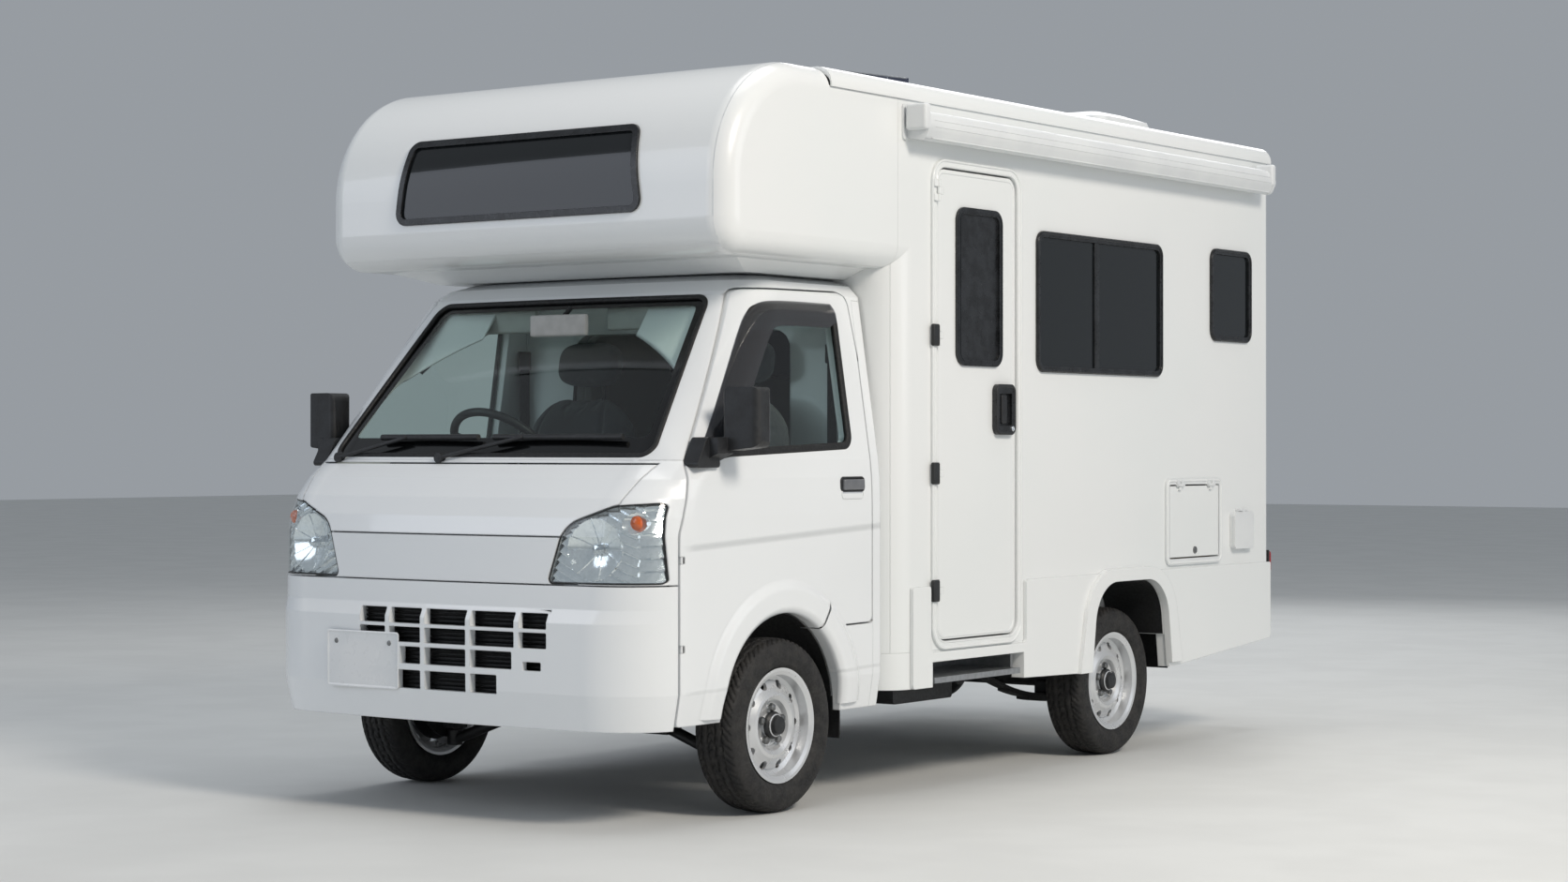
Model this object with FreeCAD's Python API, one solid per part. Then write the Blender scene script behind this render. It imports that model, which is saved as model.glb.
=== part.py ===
import FreeCAD, Part
import math
import os

V = FreeCAD.Vector

# Small cab-over camper: a white one-box cab on a ladder frame with a moulded camper shell whose
# nose reaches over the cab. Millimetres, Z up, front faces -Y, the side with the entry door is +X.
# The origin lies on the ground under the middle of the vehicle.

# Driving dimensions
wheelbase = 1950.0
frontOverhang = 690.0          # front axle to the bumper's face
rearOverhang = 1120.0          # rear axle to the rear bumper's face
tyreDiameter = 505.0
tyreWidth = 145.0
tyreCentreX = 658.0            # middle of each tyre from the middle of the vehicle
shutGap = 5.0                  # between a door or lid and its opening
seatGap = 0.3                  # between fixed pieces that sit on each other
runningGap = 0.05              # radial, shaft in bore

yFront = -(frontOverhang + wheelbase + rearOverhang) / 2
yFrontAxle = yFront + frontOverhang
yRearAxle = yFrontAxle + wheelbase
axleHeight = tyreDiameter / 2

# Cab
cabHalfWidth = 737.5
cabRoofHeight = 1565.0
cabFootInset = 16.0             # how far the sides draw in at the foot
cabRearY = yFrontAxle + 490.0
doorDepth = 40.0               # whole thickness of doors, pillars and front panels
bulkheadDepth = 60.0
seamDoorFront = yFrontAxle - 490.0
seamFrontGap = 7.0             # wider than the shut gap, because the door turns beside it
seamTurnHeight = 815.0         # where the front seam leaves the upright and follows the pillar
doorPivotX = 730.0
doorPivotY = seamDoorFront + 10.0
doorHingeHeights = (500.0, 745.0)
pivotPinRadius = 3.0
hingeRootX = cabHalfWidth - bulkheadDepth - 10
hingeArmHalf = 10.0             # half height of a door hinge's arm
seamDoorRear = yFrontAxle + 445.0
beltHeight = 1020.0
doorSillHeight = 285.0
doorRearSillHeight = 533.0
frontArchRadius = 295.0
frontArchHeight = 285.0        # centre of the arch above the ground
wheelhouseRadius = 335.0
wheelhouseWall = 15.0
wheelhouseInnerX = 395.0
cabFloorHeight = 400.0
deckHeight = 600.0
floorThickness = 15.0
toeBoardY = yFrontAxle - 545.0
riserY = yFrontAxle - 345.0
panelBackGap = 0.3             # behind the doors, bumper and front panels
panelSeam = 4.0                # gap between neighbouring front panels
bumperTopHeight = 676.0
hoodSeamHeight = 811.0
panelTopHeight = 1008.0

# Camper shell
shellHalfWidth = 775.0
shellWall = 30.0
shellFloorHeight = 400.0
shellFrontY = cabRearY + 10.0
shellRearY = yRearAxle + 1090.0
shellTopHeight = 2150.0
shellCornerRadius = 100.0
noseFrontY = yFrontAxle - 337.0
noseBottomHeight = 1600.0
noseTopHeight = 2172.0
noseLowerRadius = 105.0
noseUpperRadius = 365.0
noseEdgeRadius = 70.0
roofEdgeRadius = 55.0
roofFrontY = yFrontAxle + 168.0
roofThickness = 26.0
roofStripDrop = 62.0           # how far the roof's edge strip hangs below its top
roofStripProud = 6.0

# Skirts below the shell
skirtTopHeight = 629.0
skirtBottomHeight = 300.0
skirtProud = 12.0
rearArchHalfTop = 240.0
rearArchHalfBottom = 322.0
rearArchTopHeight = 600.0
rearArchCorner = 150.0
flareWidth = 44.0
flareProud = 14.0
wheelBoxInnerX = 545.0

# Running gear
railHalfSpacing = 350.0
railWidth = 60.0
railHeight = 65.0
railTopHeight = shellFloorHeight - seatGap
kingpinX = 545.0
spindleRadius = 18.0
rimRadius = 152.0              # bead seat
rimFlangeRadius = 167.0
rimHalfWidth = 62.0


def box(x0, x1, y0, y1, z0, z1):
    return Part.makeBox(x1 - x0, y1 - y0, z1 - z0, V(x0, y0, z0))


def rod(start, end, radius):
    return Part.makeCylinder(radius, (end - start).Length, start, end - start)


def mirrored(shape):
    return shape.mirror(V(0, 0, 0), V(1, 0, 0))


def fused(shapes):
    first = shapes[0]
    return first.fuse(shapes[1:]).removeSplitter() if len(shapes) > 1 else first


def placed(plane, u, v, w):
    # plane names the two axes that u and v run along; w is the third one
    return {"YZ": V(w, u, v), "XZ": V(u, w, v), "XY": V(u, v, w)}[plane]


def outlineFace(plane, corners, w):
    # corners: (u, v, radius) round a closed outline, each corner rounded by its radius
    edges = []
    ends = []
    count = len(corners)
    for i, (u, v, radius) in enumerate(corners):
        before = V(corners[i - 1][0] - u, corners[i - 1][1] - v, 0).normalize()
        after = V(corners[(i + 1) % count][0] - u, corners[(i + 1) % count][1] - v, 0).normalize()
        corner = V(u, v, 0)
        if radius <= 0:
            ends.append((corner, corner, None))
            continue
        half = before.getAngle(after) / 2
        reach = radius / math.tan(half)
        middle = corner + (before + after).normalize() * (radius / math.sin(half) - radius)
        ends.append((corner + before * reach, corner + after * reach, middle))
    for i, (start, end, middle) in enumerate(ends):
        if middle is not None:
            points = [placed(plane, p.x, p.y, w) for p in (start, middle, end)]
            edges.append(Part.Arc(*points).toShape())
        following = ends[(i + 1) % count][0]
        if (following - end).Length > 1e-6:
            edges.append(Part.LineSegment(placed(plane, end.x, end.y, w),
                                          placed(plane, following.x, following.y, w)).toShape())
    return Part.Face(Part.Wire(edges))


def prism(plane, corners, w0, w1):
    along = placed(plane, 0, 0, w1 - w0)
    return outlineFace(plane, corners, w0).extrude(along)


def rectangle(u0, u1, v0, v1, radius):
    return [(u0, v0, radius), (u1, v0, radius), (u1, v1, radius), (u0, v1, radius)]


def grown(corners, by):
    # the same outline with every side moved outwards by a distance, for convex outlines
    moved = []
    count = len(corners)
    area = sum(corners[i - 1][0] * corners[i][1] - corners[i][0] * corners[i - 1][1]
               for i in range(count))
    turn = 1.0 if area > 0 else -1.0
    for i, (u, v, radius) in enumerate(corners):
        back = V(u - corners[i - 1][0], v - corners[i - 1][1], 0).normalize()
        on = V(corners[(i + 1) % count][0] - u, corners[(i + 1) % count][1] - v, 0).normalize()
        n1 = V(back.y, -back.x, 0) * turn
        n2 = V(on.y, -on.x, 0) * turn
        shift = (n1 + n2) * (by / (1 + n1.dot(n2)))
        moved.append((u + shift.x, v + shift.y, max(radius + by, 0) if radius > 0 else 0))
    return moved


# Cab: one outer form from level sections, used for every panel at its own depth
# columns: height, nose ahead of the front axle, half width, corner radius, bow of the front,
# share of the wall thickness by which the section drops when it is moved inwards
cabSections = [
    (275, 668, cabHalfWidth - cabFootInset, 200, 20, 0.0),
    (375, 688, cabHalfWidth, 215, 20, 0.0),
    (572, 690, cabHalfWidth, 215, 20, 0.0),
    (610, 674, cabHalfWidth, 197, 22, 0.0),
    (hoodSeamHeight, 668, cabHalfWidth, 189, 24, 0.0),
    (862, 656, cabHalfWidth, 188, 25, 0.0),
    (915, 627, cabHalfWidth - 1, 185, 26, 0.0),
    (968, 580, cabHalfWidth - 3, 180, 28, 0.0),
    (beltHeight, 515, cabHalfWidth - 8, 180, 30, 0.0),
    (1512, 92, 655, 140, 26, 0.35),
    (1546, 45, 622, 130, 24, 0.8),
    (cabRoofHeight, -15, 560, 110, 20, 1.0),
]


def cabLoft(inset, rear=cabRearY):
    wires = []
    for height, ahead, half, corner, bow, drop in cabSections:
        z = height - inset * drop
        reach = half - inset
        radius = max(corner - inset, 20)
        nose = yFrontAxle - ahead + inset
        shoulder = nose + bow
        inner = reach - radius
        diagonal = radius * (1 - math.sqrt(0.5))
        points = {
            "rearLeft": V(-reach, rear, z), "sideLeft": V(-reach, shoulder + radius, z),
            "frontLeft": V(-inner, shoulder, z), "frontRight": V(inner, shoulder, z),
            "sideRight": V(reach, shoulder + radius, z), "rearRight": V(reach, rear, z),
        }
        midLeft = V(-reach + diagonal, shoulder + diagonal, z)
        midRight = V(reach - diagonal, shoulder + diagonal, z)
        edges = [
            Part.LineSegment(points["rearLeft"], points["sideLeft"]).toShape(),
            Part.Arc(points["sideLeft"], midLeft, points["frontLeft"]).toShape(),
            Part.Arc(points["frontLeft"], V(0, nose, z), points["frontRight"]).toShape(),
            Part.Arc(points["frontRight"], midRight, points["sideRight"]).toShape(),
            Part.LineSegment(points["sideRight"], points["rearRight"]).toShape(),
            Part.LineSegment(points["rearRight"], points["rearLeft"]).toShape(),
        ]
        wires.append(Part.Wire(edges))
    return Part.makeLoft(wires, True, True)


def cabLayer(outer, inner):
    # the cab's skin between two depths, open at its back and underside
    core = cabLoft(inner, cabRearY + doorDepth)
    return cabLoft(outer).cut(core)


cabForm = cabLoft(0)
panelLayer = cabLayer(0, doorDepth - panelBackGap)
sideReach = cabHalfWidth + 100.0

# Side outlines, as (Y, Z, radius)
doorOutline = [
    (seamDoorFront, doorSillHeight, 12),
    (seamDoorFront, seamTurnHeight, 60),
    (yFrontAxle - 425, 1000, 120),
    (yFrontAxle - 48, 1516, 45),
    (seamDoorRear - 22, 1522, 50),
    (seamDoorRear, 1330, 200),
    (seamDoorRear, doorRearSillHeight, 20),
    (yFrontAxle + 170, doorRearSillHeight - 4, 0),
    (yFrontAxle + 170, doorSillHeight, 0),
]
doorWindowOutline = [
    (yFrontAxle - 352, beltHeight + 8, 25),
    (yFrontAxle - 36, 1462, 50),
    (seamDoorRear - 93, 1472, 45),
    (seamDoorRear - 93, 1062, 35),
    (yFrontAxle - 250, 1040, 200),
]
windscreenOutline = [
    (-612, beltHeight + 14, 30), (612, beltHeight + 14, 30), (520, 1496, 45), (-520, 1496, 45)]
lampOutline = [
    (402, bumperTopHeight + 6, 12), (722, bumperTopHeight + 6, 12), (712, 903, 14),
    (600, 895, 90), (452, 840, 90)]
# the field of the two front panels between the lamps, up to the windscreen's foot
panelField = [
    (-640, panelTopHeight, 0), (-600, 880, 0), (-500, 700, 0), (-500, bumperTopHeight, 0),
    (500, bumperTopHeight, 0), (500, 700, 0), (600, 880, 0), (640, panelTopHeight, 0)]
frontReachY = (yFront - 50, yFrontAxle - 60)
lampReachY = (yFront - 50, seamDoorFront - 18)


def mirroredOutline(corners):
    return [(-u, v, radius) for u, v, radius in reversed(corners)]


def archCylinder(radius, x0, x1):
    return rod(V(x0, yFrontAxle, frontArchHeight), V(x1, yFrontAxle, frontArchHeight), radius)


def panelsOf(shape, regions):
    # a pressing's or moulding's panels, which meet face to face along straight seams: one list
    # for each region, and a last one for what lies outside them all
    space = box(-wholeReach, wholeReach, -wholeReach, wholeReach, -wholeReach, wholeReach)
    groups = []
    rest = shape.Solids
    for region in regions:
        outside = space.cut(region)
        inner, outer = [], []
        for solid in rest:
            if solid.BoundBox.intersect(region.BoundBox):
                inner += solid.common(region).Solids
                outer += solid.common(outside).Solids
            else:
                outer.append(solid)
        groups.append(inner)
        rest = outer
    groups.append(rest)
    return [[panel for panel in group if panel.Volume > smallestPanel] for group in groups]


wholeReach = 5000.0
smallestPanel = 1000.0


def cabPanels(body):
    # roof, rear wall, windscreen pillars, the wheelhouses in slices from front to rear, floor and front wall
    wide, low, high = sideReach, 0.0, cabRoofHeight + 100
    front, rear = yFront - 50, cabRearY + 100
    deckTop = deckHeight + floorThickness
    inner = wheelhouseInnerX - wheelhouseWall
    regions = [
        box(-wide, wide, front, rear, roofSeamHeight, high),
        box(-wide, wide, cabRearY - doorDepth, rear, low, high),
        box(-wide, wide, front, rear, beltHeight, high)]
    for x0, x1 in ((inner, wide), (-wide, -inner)):
        for end in (-300, -110, 110, 300, rear - yFrontAxle):
            regions.append(box(x0, x1, front, yFrontAxle + end, low, deckTop))
    groups = panelsOf(body, regions + [box(-wide, wide, front, rear, low, deckTop)])
    return {
        "cab_body": groups[0] + groups[2] + groups[13] + groups[14],
        "cab_rear_wall": groups[1],
        "cab_wheelhouses": sum(groups[3:13], [])}


roofSeamHeight = 1500.0


def makeCabBody():
    inside = cabLoft(doorDepth, cabRearY - doorDepth)
    front = cabLoft(bulkheadDepth, cabRearY - doorDepth)
    low = 0.0
    high = cabRoofHeight + 100
    wide = sideReach
    rear = cabRearY + 100
    behind = inside.common(box(-wide, wide, seamDoorFront, rear, low, high))
    cavity = front.fuse(behind)
    above = box(-wide, wide, yFront, rear, deckHeight + floorThickness, high)
    footwell = box(-wide, wide, toeBoardY, riserY, cabFloorHeight + floorThickness, high)
    cavity = cavity.common(above.fuse(footwell))
    for side in (-1, 1):
        ring = rod(V(side * (wheelhouseInnerX - wheelhouseWall), yFrontAxle, axleHeight),
                   V(side * sideReach, yFrontAxle, axleHeight), wheelhouseRadius + wheelhouseWall)
        cavity = cavity.cut(ring)
    body = cabForm.cut(cavity)
    under = [
        box(-wide, wide, toeBoardY - floorThickness, riserY - floorThickness, low, cabFloorHeight),
        box(-wide, wide, riserY - floorThickness, rear, low, deckHeight),
    ]
    core = cabLoft(doorDepth, rear)
    for piece in under:
        body = body.cut(piece.common(core))
    # the riser between footwell and deck, down to the floor
    riser = box(-wide, wide, riserY - floorThickness, riserY, cabFloorHeight,
                deckHeight + floorThickness).common(cabLoft(bulkheadDepth, rear))
    body = body.fuse(riser)
    rings = []
    for side in (-1, 1):
        rings.append(rod(V(side * (wheelhouseInnerX - wheelhouseWall), yFrontAxle, axleHeight),
                         V(side * sideReach, yFrontAxle, axleHeight),
                         wheelhouseRadius + wheelhouseWall)
                     .common(box(-wide, wide, yFront, rear, axleHeight + 60, high))
                     .common(cabLoft(doorDepth, rear)))
    body = body.fuse(rings)
    for side in (-1, 1):
        body = body.cut(rod(V(side * wheelhouseInnerX, yFrontAxle, axleHeight),
                            V(side * (cabHalfWidth - doorDepth), yFrontAxle, axleHeight),
                            wheelhouseRadius))
        body = body.cut(archCylinder(frontArchRadius, side * (cabHalfWidth - doorDepth - 30),
                                     side * sideReach))
    # room for the bumper, the front panels and the lamps
    body = body.cut(box(-wide, wide, yFront - 50, toeBoardY - floorThickness, low, deckHeight + 20))
    skin = cabForm.cut(cabLoft(doorDepth, rear))
    regions = [
        prism("XZ", rectangle(-wide, wide, low, bumperTopHeight + panelSeam / 2, 0),
              yFront - 50, seamDoorFront),
        prism("XZ", grown(panelField, panelSeam), *frontReachY),
        prism("XZ", grown(lampOutline, panelSeam / 2), *lampReachY),
        prism("XZ", grown(mirroredOutline(lampOutline), panelSeam / 2), *lampReachY),
    ]
    for region in regions:
        body = body.cut(skin.common(region))
    # door openings, windscreen opening and the way through to the camper
    doorSkin = cabForm.cut(cabLoft(doorDepth + shutGap, rear))
    opening = prism("YZ", openingOutline(), 0, sideReach)
    body = body.cut(doorSkin.common(opening)).cut(doorSkin.common(mirrored(opening)))
    body = body.cut(prism("XZ", windscreenOutline, yFront - 50, yFrontAxle + 100))
    body = body.cut(prism("XZ", passThroughOutline, cabRearY - doorDepth - 10, rear))
    for side in (-1, 1):
        for height in doorHingeHeights:
            body = body.fuse(doorHinge(side, height))
    return cabPanels(biggest(body))


def pivotPoint(side, height):
    return V(side * doorPivotX, doorPivotY, height)


def doorHinge(side, height):
    # an arm from the wall behind the front seam, with a pin that stands up and down into the door
    x0, x1 = sorted((side * hingeRootX, side * doorPivotX))
    arm = box(x0, x1, doorPivotY - 4.5, doorPivotY + 4.5, height - hingeArmHalf, height + hingeArmHalf)
    x0, x1 = sorted((side * hingeRootX, side * (hingeRootX + 18)))
    root = box(x0, x1, seamDoorFront - 20, doorPivotY + 4.5, height - hingeArmHalf, height + hingeArmHalf)
    eye = rod(pivotPoint(side, height - hingeArmHalf), pivotPoint(side, height + hingeArmHalf), 5)
    pin = rod(pivotPoint(side, height - hingeArmHalf - 14), pivotPoint(side, height + hingeArmHalf + 14),
              pivotPinRadius)
    return fused([arm, root, eye, pin])


def openingOutline():
    # the door's outline with the shut gap all round; its front and low corners are plain
    return [
        (seamDoorFront - seamFrontGap, doorSillHeight - 100, 0),
        (seamDoorFront - seamFrontGap, seamTurnHeight + 1, 60),
        (yFrontAxle - 430, 1003, 120),
        (yFrontAxle - 51, 1516 + shutGap, 50),
        (seamDoorRear - 19, 1522 + shutGap, 55),
        (seamDoorRear + shutGap, 1330, 205),
        (seamDoorRear + shutGap, doorRearSillHeight - shutGap, 10),
        (yFrontAxle + 170, doorRearSillHeight - 4 - shutGap, 0),
        (yFrontAxle + 170, doorSillHeight - 100, 0),
    ]


passThroughOutline = rectangle(-430, 430, 1010, 1420, 60)


def biggest(shape):
    solids = sorted(shape.Solids, key=lambda solid: solid.Volume)
    return solids[-1]


def makeDoor():
    door = panelLayer.common(prism("YZ", doorOutline, 300, sideReach))
    door = door.cut(prism("YZ", doorWindowOutline, 300, sideReach))
    door = door.cut(archCylinder(frontArchRadius, 300, sideReach))
    for height in doorHingeHeights:
        reach = hingeArmHalf + seatGap
        door = door.cut(box(cabHalfWidth - doorDepth - 5, cabHalfWidth - 1.5, seamDoorFront - 5, doorPivotY + 9,
                            height - reach, height + reach))
        door = door.cut(rod(pivotPoint(1, height - reach - 15), pivotPoint(1, height + reach + 15),
                            pivotPinRadius + runningGap))
    return biggest(door)


glassDepth = 12.0
glassThickness = 4.0


def makeDoorGlass():
    layer = cabLayer(glassDepth, glassDepth + glassThickness)
    return biggest(layer.common(prism("YZ", grown(doorWindowOutline, -seatGap), 300, sideReach)))


def makeWindscreen():
    layer = cabLayer(6, 12)
    return biggest(layer.common(prism("XZ", grown(windscreenOutline, -seatGap),
                                      yFront - 50, yFrontAxle + 60)))


# Bumper with the cooling grille: rows of openings split by upright bars
# columns: low height, high height, low X, high X
grilleRows = [
    (553, 597, -292, 411),
    (499, 543, -292, 411),
    (438, 487, -130, 289),
    (367, 420, -140, 235),
]
grilleBars = [-181, -42, 130, 306]     # middle of each upright bar
grilleBarWidth = 17.0
lampSlot = (437, 461, 329, 392)
grilleDepth = 26.0                     # front to back of the bars
plateMiddle = (-285.0, 443.0)
plateBoltSpacing = 210.0
plateBoltRadius = 3.5


def makeBumper():
    region = prism("XZ", rectangle(-sideReach, sideReach, 200, bumperTopHeight - panelSeam / 2, 0),
                   yFront - 50, seamDoorFront - seamFrontGap)
    bumper = panelLayer.common(region)
    for low, high, x0, x1 in grilleRows:
        edges = [x0] + [bar for bar in grilleBars if x0 < bar < x1] + [x1]
        for i in range(len(edges) - 1):
            left = edges[i] + (grilleBarWidth / 2 if i > 0 else 0)
            right = edges[i + 1] - (grilleBarWidth / 2 if i + 1 < len(edges) - 1 else 0)
            bumper = bumper.cut(prism("XZ", rectangle(left, right, low, high, 4),
                                      yFront - 50, yFront + 120))
    low, high, x0, x1 = lampSlot
    bumper = bumper.cut(prism("XZ", rectangle(x0, x1, low, high, 4), yFront - 50, yFront + 120))
    # the bars are shallower than the bumper: hollow the back of the grille field
    back = box(-300, 419, yFront + grilleDepth, yFront + 120, 358, 606)
    bumper = bumper.cut(back)
    for side in (-1, 1):
        x = plateMiddle[0] + side * plateBoltSpacing / 2
        z = plateMiddle[1] + 50
        bumper = bumper.cut(rod(V(x, yFront - 50, z), V(x, yFront + 120, z), plateBoltRadius))
    return biggest(bumper)


def makeFrontPanel():
    # the hood above and the plain panel below it, split at the hood seam, both cut round the lamps
    field = panelLayer.common(prism("XZ", panelField, *frontReachY))
    lamp = prism("XZ", grown(lampOutline, panelSeam), *frontReachY)
    field = field.cut(lamp).cut(mirrored(lamp))
    field = field.cut(box(-sideReach, sideReach, *frontReachY, 0, bumperTopHeight + panelSeam / 2))
    hood = field.common(box(-sideReach, sideReach, *frontReachY, hoodSeamHeight, panelTopHeight + 10))
    lower = field.common(box(-sideReach, sideReach, *frontReachY, 0, hoodSeamHeight - panelSeam))
    return [biggest(hood), biggest(lower)]


lensThickness = 4.0
lampBowlDepth = 30.0
lampBowlRadius = 88.0
lampBowlMiddle = (545.0, 775.0)


def makeLampLens():
    layer = cabLayer(1, 1 + lensThickness)
    return biggest(layer.common(prism("XZ", lampOutline, *lampReachY)))


def makeLampHousing():
    depth = 1 + lensThickness + seatGap
    layer = cabLayer(depth, doorDepth - panelBackGap)
    housing = biggest(layer.common(prism("XZ", lampOutline, *lampReachY)))
    x, z = lampBowlMiddle
    nose = yFrontAxle - 668 + depth
    # the bowl: a cone-like dish turned about the lamp's own axis
    dish = Part.makeCone(lampBowlRadius, 22, lampBowlDepth, V(x, nose - 12, z), V(0, 1, 0))
    return biggest(housing.cut(dish))


def makeDashboard():
    top = 985.0
    back = yFrontAxle - 215.0
    # columns: Y, Z, radius of a dash section from the windscreen base to the knee edge
    section = [
        (toeBoardY + 20, 640, 0), (toeBoardY + 20, top, 0), (back - 60, top, 30),
        (back, top - 55, 30), (back - 20, 790, 30), (back - 110, 700, 30), (back - 160, 640, 0)]
    reach = hingeRootX - seatGap
    dash = prism("YZ", section, -reach, reach)
    hood = prism("YZ", [(back - 150, top - 10, 0), (back - 130, top + 38, 20),
                        (back - 25, top + 30, 20), (back - 12, top - 70, 0)],
                 driverX - 190, driverX + 190)
    dash = dash.fuse(hood)
    envelope = cabLoft(bulkheadDepth + seatGap, cabRearY)
    dash = dash.common(envelope)
    column = rod(columnFoot, wheelHubPoint - columnAxis * columnClearance, 26)
    shaft = rod(columnFoot, wheelHubPoint - columnAxis * 6, shaftRadius)
    return fused([dash, column, shaft])


driverX = -300.0
steeringRadius = 178.0
steeringTubeRadius = 13.0
columnTilt = 46.0                       # the column's lean from upright, in degrees
wheelHubPoint = V(driverX, yFrontAxle - 50, 1028)
columnAxis = V(0, math.sin(math.radians(columnTilt)), math.cos(math.radians(columnTilt)))
columnFoot = wheelHubPoint - columnAxis * 300
columnClearance = 32.0
shaftRadius = 10.0


def makeSteeringWheel():
    ring = Part.makeTorus(steeringRadius, steeringTubeRadius, V(0, 0, 12), V(0, 0, 1))
    hub = Part.makeCylinder(48, 34, V(0, 0, -24))
    pieces = [ring, hub]
    for angle in (90, 210, 330):
        spoke = box(30, steeringRadius, -19, 19, -6, 6)
        spoke.rotate(V(0, 0, 0), V(0, 0, 1), angle)
        pieces.append(spoke)
    bore = Part.makeCylinder(shaftRadius + runningGap, 20, V(0, 0, -25))
    wheel = fused(pieces).cut(bore)
    wheel.rotate(V(0, 0, 0), V(1, 0, 0), -columnTilt)
    wheel.translate(wheelHubPoint)
    return wheel


seatMiddleX = 300.0
seatWidth = 480.0
cushionFrontY = yFrontAxle - 140.0
seatFootY = yFrontAxle + 258.0
cushionTopHeight = 760.0
seatBaseHeight = deckHeight + floorThickness + seatGap
seatBackLean = 115.0                    # how far the back's top lies behind its foot


def makeSeat(side):
    middle = side * seatMiddleX
    half = seatWidth / 2
    foot = seatFootY
    cushion = prism("YZ", [(cushionFrontY, seatBaseHeight, 10), (cushionFrontY, cushionTopHeight, 45),
                           (foot, cushionTopHeight - 25, 0), (foot, seatBaseHeight, 0)],
                    middle - half, middle + half)
    top = 1240.0
    back = prism("YZ", [(foot - 15, seatBaseHeight, 0), (foot + seatBackLean - 45, top, 35),
                        (foot + seatBackLean + 45, top, 35), (foot + 95, seatBaseHeight, 10)],
                 middle - half + 12, middle + half - 12)
    rest = prism("YZ", rectangle(foot + seatBackLean - 42, foot + seatBackLean + 45, top + 20, 1395, 28),
                 middle - 125, middle + 125)
    posts = [rod(V(middle + x, foot + seatBackLean, top - 40), V(middle + x, foot + seatBackLean, top + 60), 6)
             for x in (-60, 60)]
    return fused([cushion, back, rest] + posts)


# Wipers: pivot X, blade's low and high X; both lie along the screen's foot
wiperTable = [(-565, -420, -20), (-130, 40, 500)]
screenLean = (515 - 92) / (1512 - beltHeight)      # how far the screen falls back for each unit of height
screenBow = 30.0
screenBowReach = 550.0


def screenPoint(x, z, stand):
    # a point that stands off the windscreen's outer face
    y = yFrontAxle - 515 + (z - beltHeight) * screenLean + screenBow * (x / screenBowReach) ** 2
    return V(x, y - stand, z)


def makeWipers():
    strips = []
    for pivot, x0, x1 in wiperTable:
        foot = beltHeight + 6
        sweep = beltHeight + 66
        boss = rod(screenPoint(pivot, foot, 22), screenPoint(pivot, foot, -30), 15)
        arm = rod(screenPoint(pivot, foot, 18), screenPoint(x0 + 110, sweep, 20), 6)
        blade = rod(screenPoint(x0, sweep, 16), screenPoint(x1, sweep, 16), 9)
        strip = fused([boss, arm, blade]).cut(cabLoft(-seatGap))
        strips.append(biggest(strip))
    return strips


# Chassis
railBottomHeight = railTopHeight - railHeight
# middle of each cross member behind the front bumper's face
crossMembers = [90.0, 420.0, 1180.0, 1720.0, 2190.0, 3020.0, 3640.0]


def makeChassis():
    pieces = []
    start = yFront + 75
    end = shellRearY - 60 - seatGap
    for side in (-1, 1):
        middle = side * railHalfSpacing
        pieces.append(box(middle - railWidth / 2, middle + railWidth / 2, start, end,
                          railBottomHeight, railTopHeight))
    for behind in crossMembers:
        y = yFront + behind
        pieces.append(box(-railHalfSpacing, railHalfSpacing, y - 22, y + 22,
                          railBottomHeight + 8, railTopHeight - 8))
    # brackets that carry the shell's sides and the skirts
    for behind in (1330.0, 2060.0, 3400.0):
        y = yFront + behind
        for side in (-1, 1):
            inner = side * railHalfSpacing
            outer = side * (shellHalfWidth - 45)
            pieces.append(box(min(inner, outer), max(inner, outer), y - 20, y + 20,
                              railTopHeight - 45, railTopHeight))
    return fused(pieces)


def makeRadiator():
    back = toeBoardY - floorThickness - seatGap
    return box(-310, 425, back - 44, back, railTopHeight + seatGap, 612)


def makeEngine():
    return box(-200, 200, yFrontAxle - 60, yFrontAxle + 440, 300, deckHeight - 10)


springHalfLength = 440.0
springEyeHeight = 290.0
springWidth = 50.0
springX = 470.0
axleCaseRadius = 96.0
axleNoseReach = axleCaseRadius + 2
shaftEndGap = 1.5               # the slanting shaft's end face clears the axle's nose all round
hubGap = 5.0                    # between a turning hub and the plate behind it
hubInner = -72.0               # the hub's inner end from the tyre's middle
plateThickness = 11.0


def makeRearAxle():
    tube = rod(V(-(tyreCentreX - 75), yRearAxle, axleHeight), V(tyreCentreX - 75, yRearAxle, axleHeight), 32)
    end, crown = axleCaseRadius + 4, V(0, axleCaseRadius, 0)
    halfCase = Part.Face(Part.Wire([
        Part.Arc(V(-end, 44, 0), crown, V(end, 44, 0)).toShape(),
        Part.LineSegment(V(end, 44, 0), V(end, 0, 0)).toShape(),
        Part.LineSegment(V(end, 0, 0), V(-end, 0, 0)).toShape(),
        Part.LineSegment(V(-end, 0, 0), V(-end, 44, 0)).toShape()]))
    case = halfCase.revolve(V(0, 0, 0), V(1, 0, 0), 360)
    case.translate(V(0, yRearAxle, axleHeight))
    nose = rod(V(0, yRearAxle - axleNoseReach, axleHeight), V(0, yRearAxle, axleHeight), 34)
    pieces = [tube, case, nose]
    for side in (-1, 1):
        plate = tyreCentreX + hubInner - hubGap
        backing = rod(V(side * (plate - plateThickness), yRearAxle, axleHeight),
                      V(side * plate, yRearAxle, axleHeight), 112)
        spindle = rod(V(side * (plate - 5), yRearAxle, axleHeight),
                      V(side * (tyreCentreX + 20), yRearAxle, axleHeight), spindleRadius)
        pieces += [backing, spindle]
        pieces.append(leafSpring(side * springX))
        pieces.append(box(side * springX - 30, side * springX + 30, yRearAxle - 55, yRearAxle + 55,
                          axleHeight - 60, axleHeight - 10))
    return fused(pieces)


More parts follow.
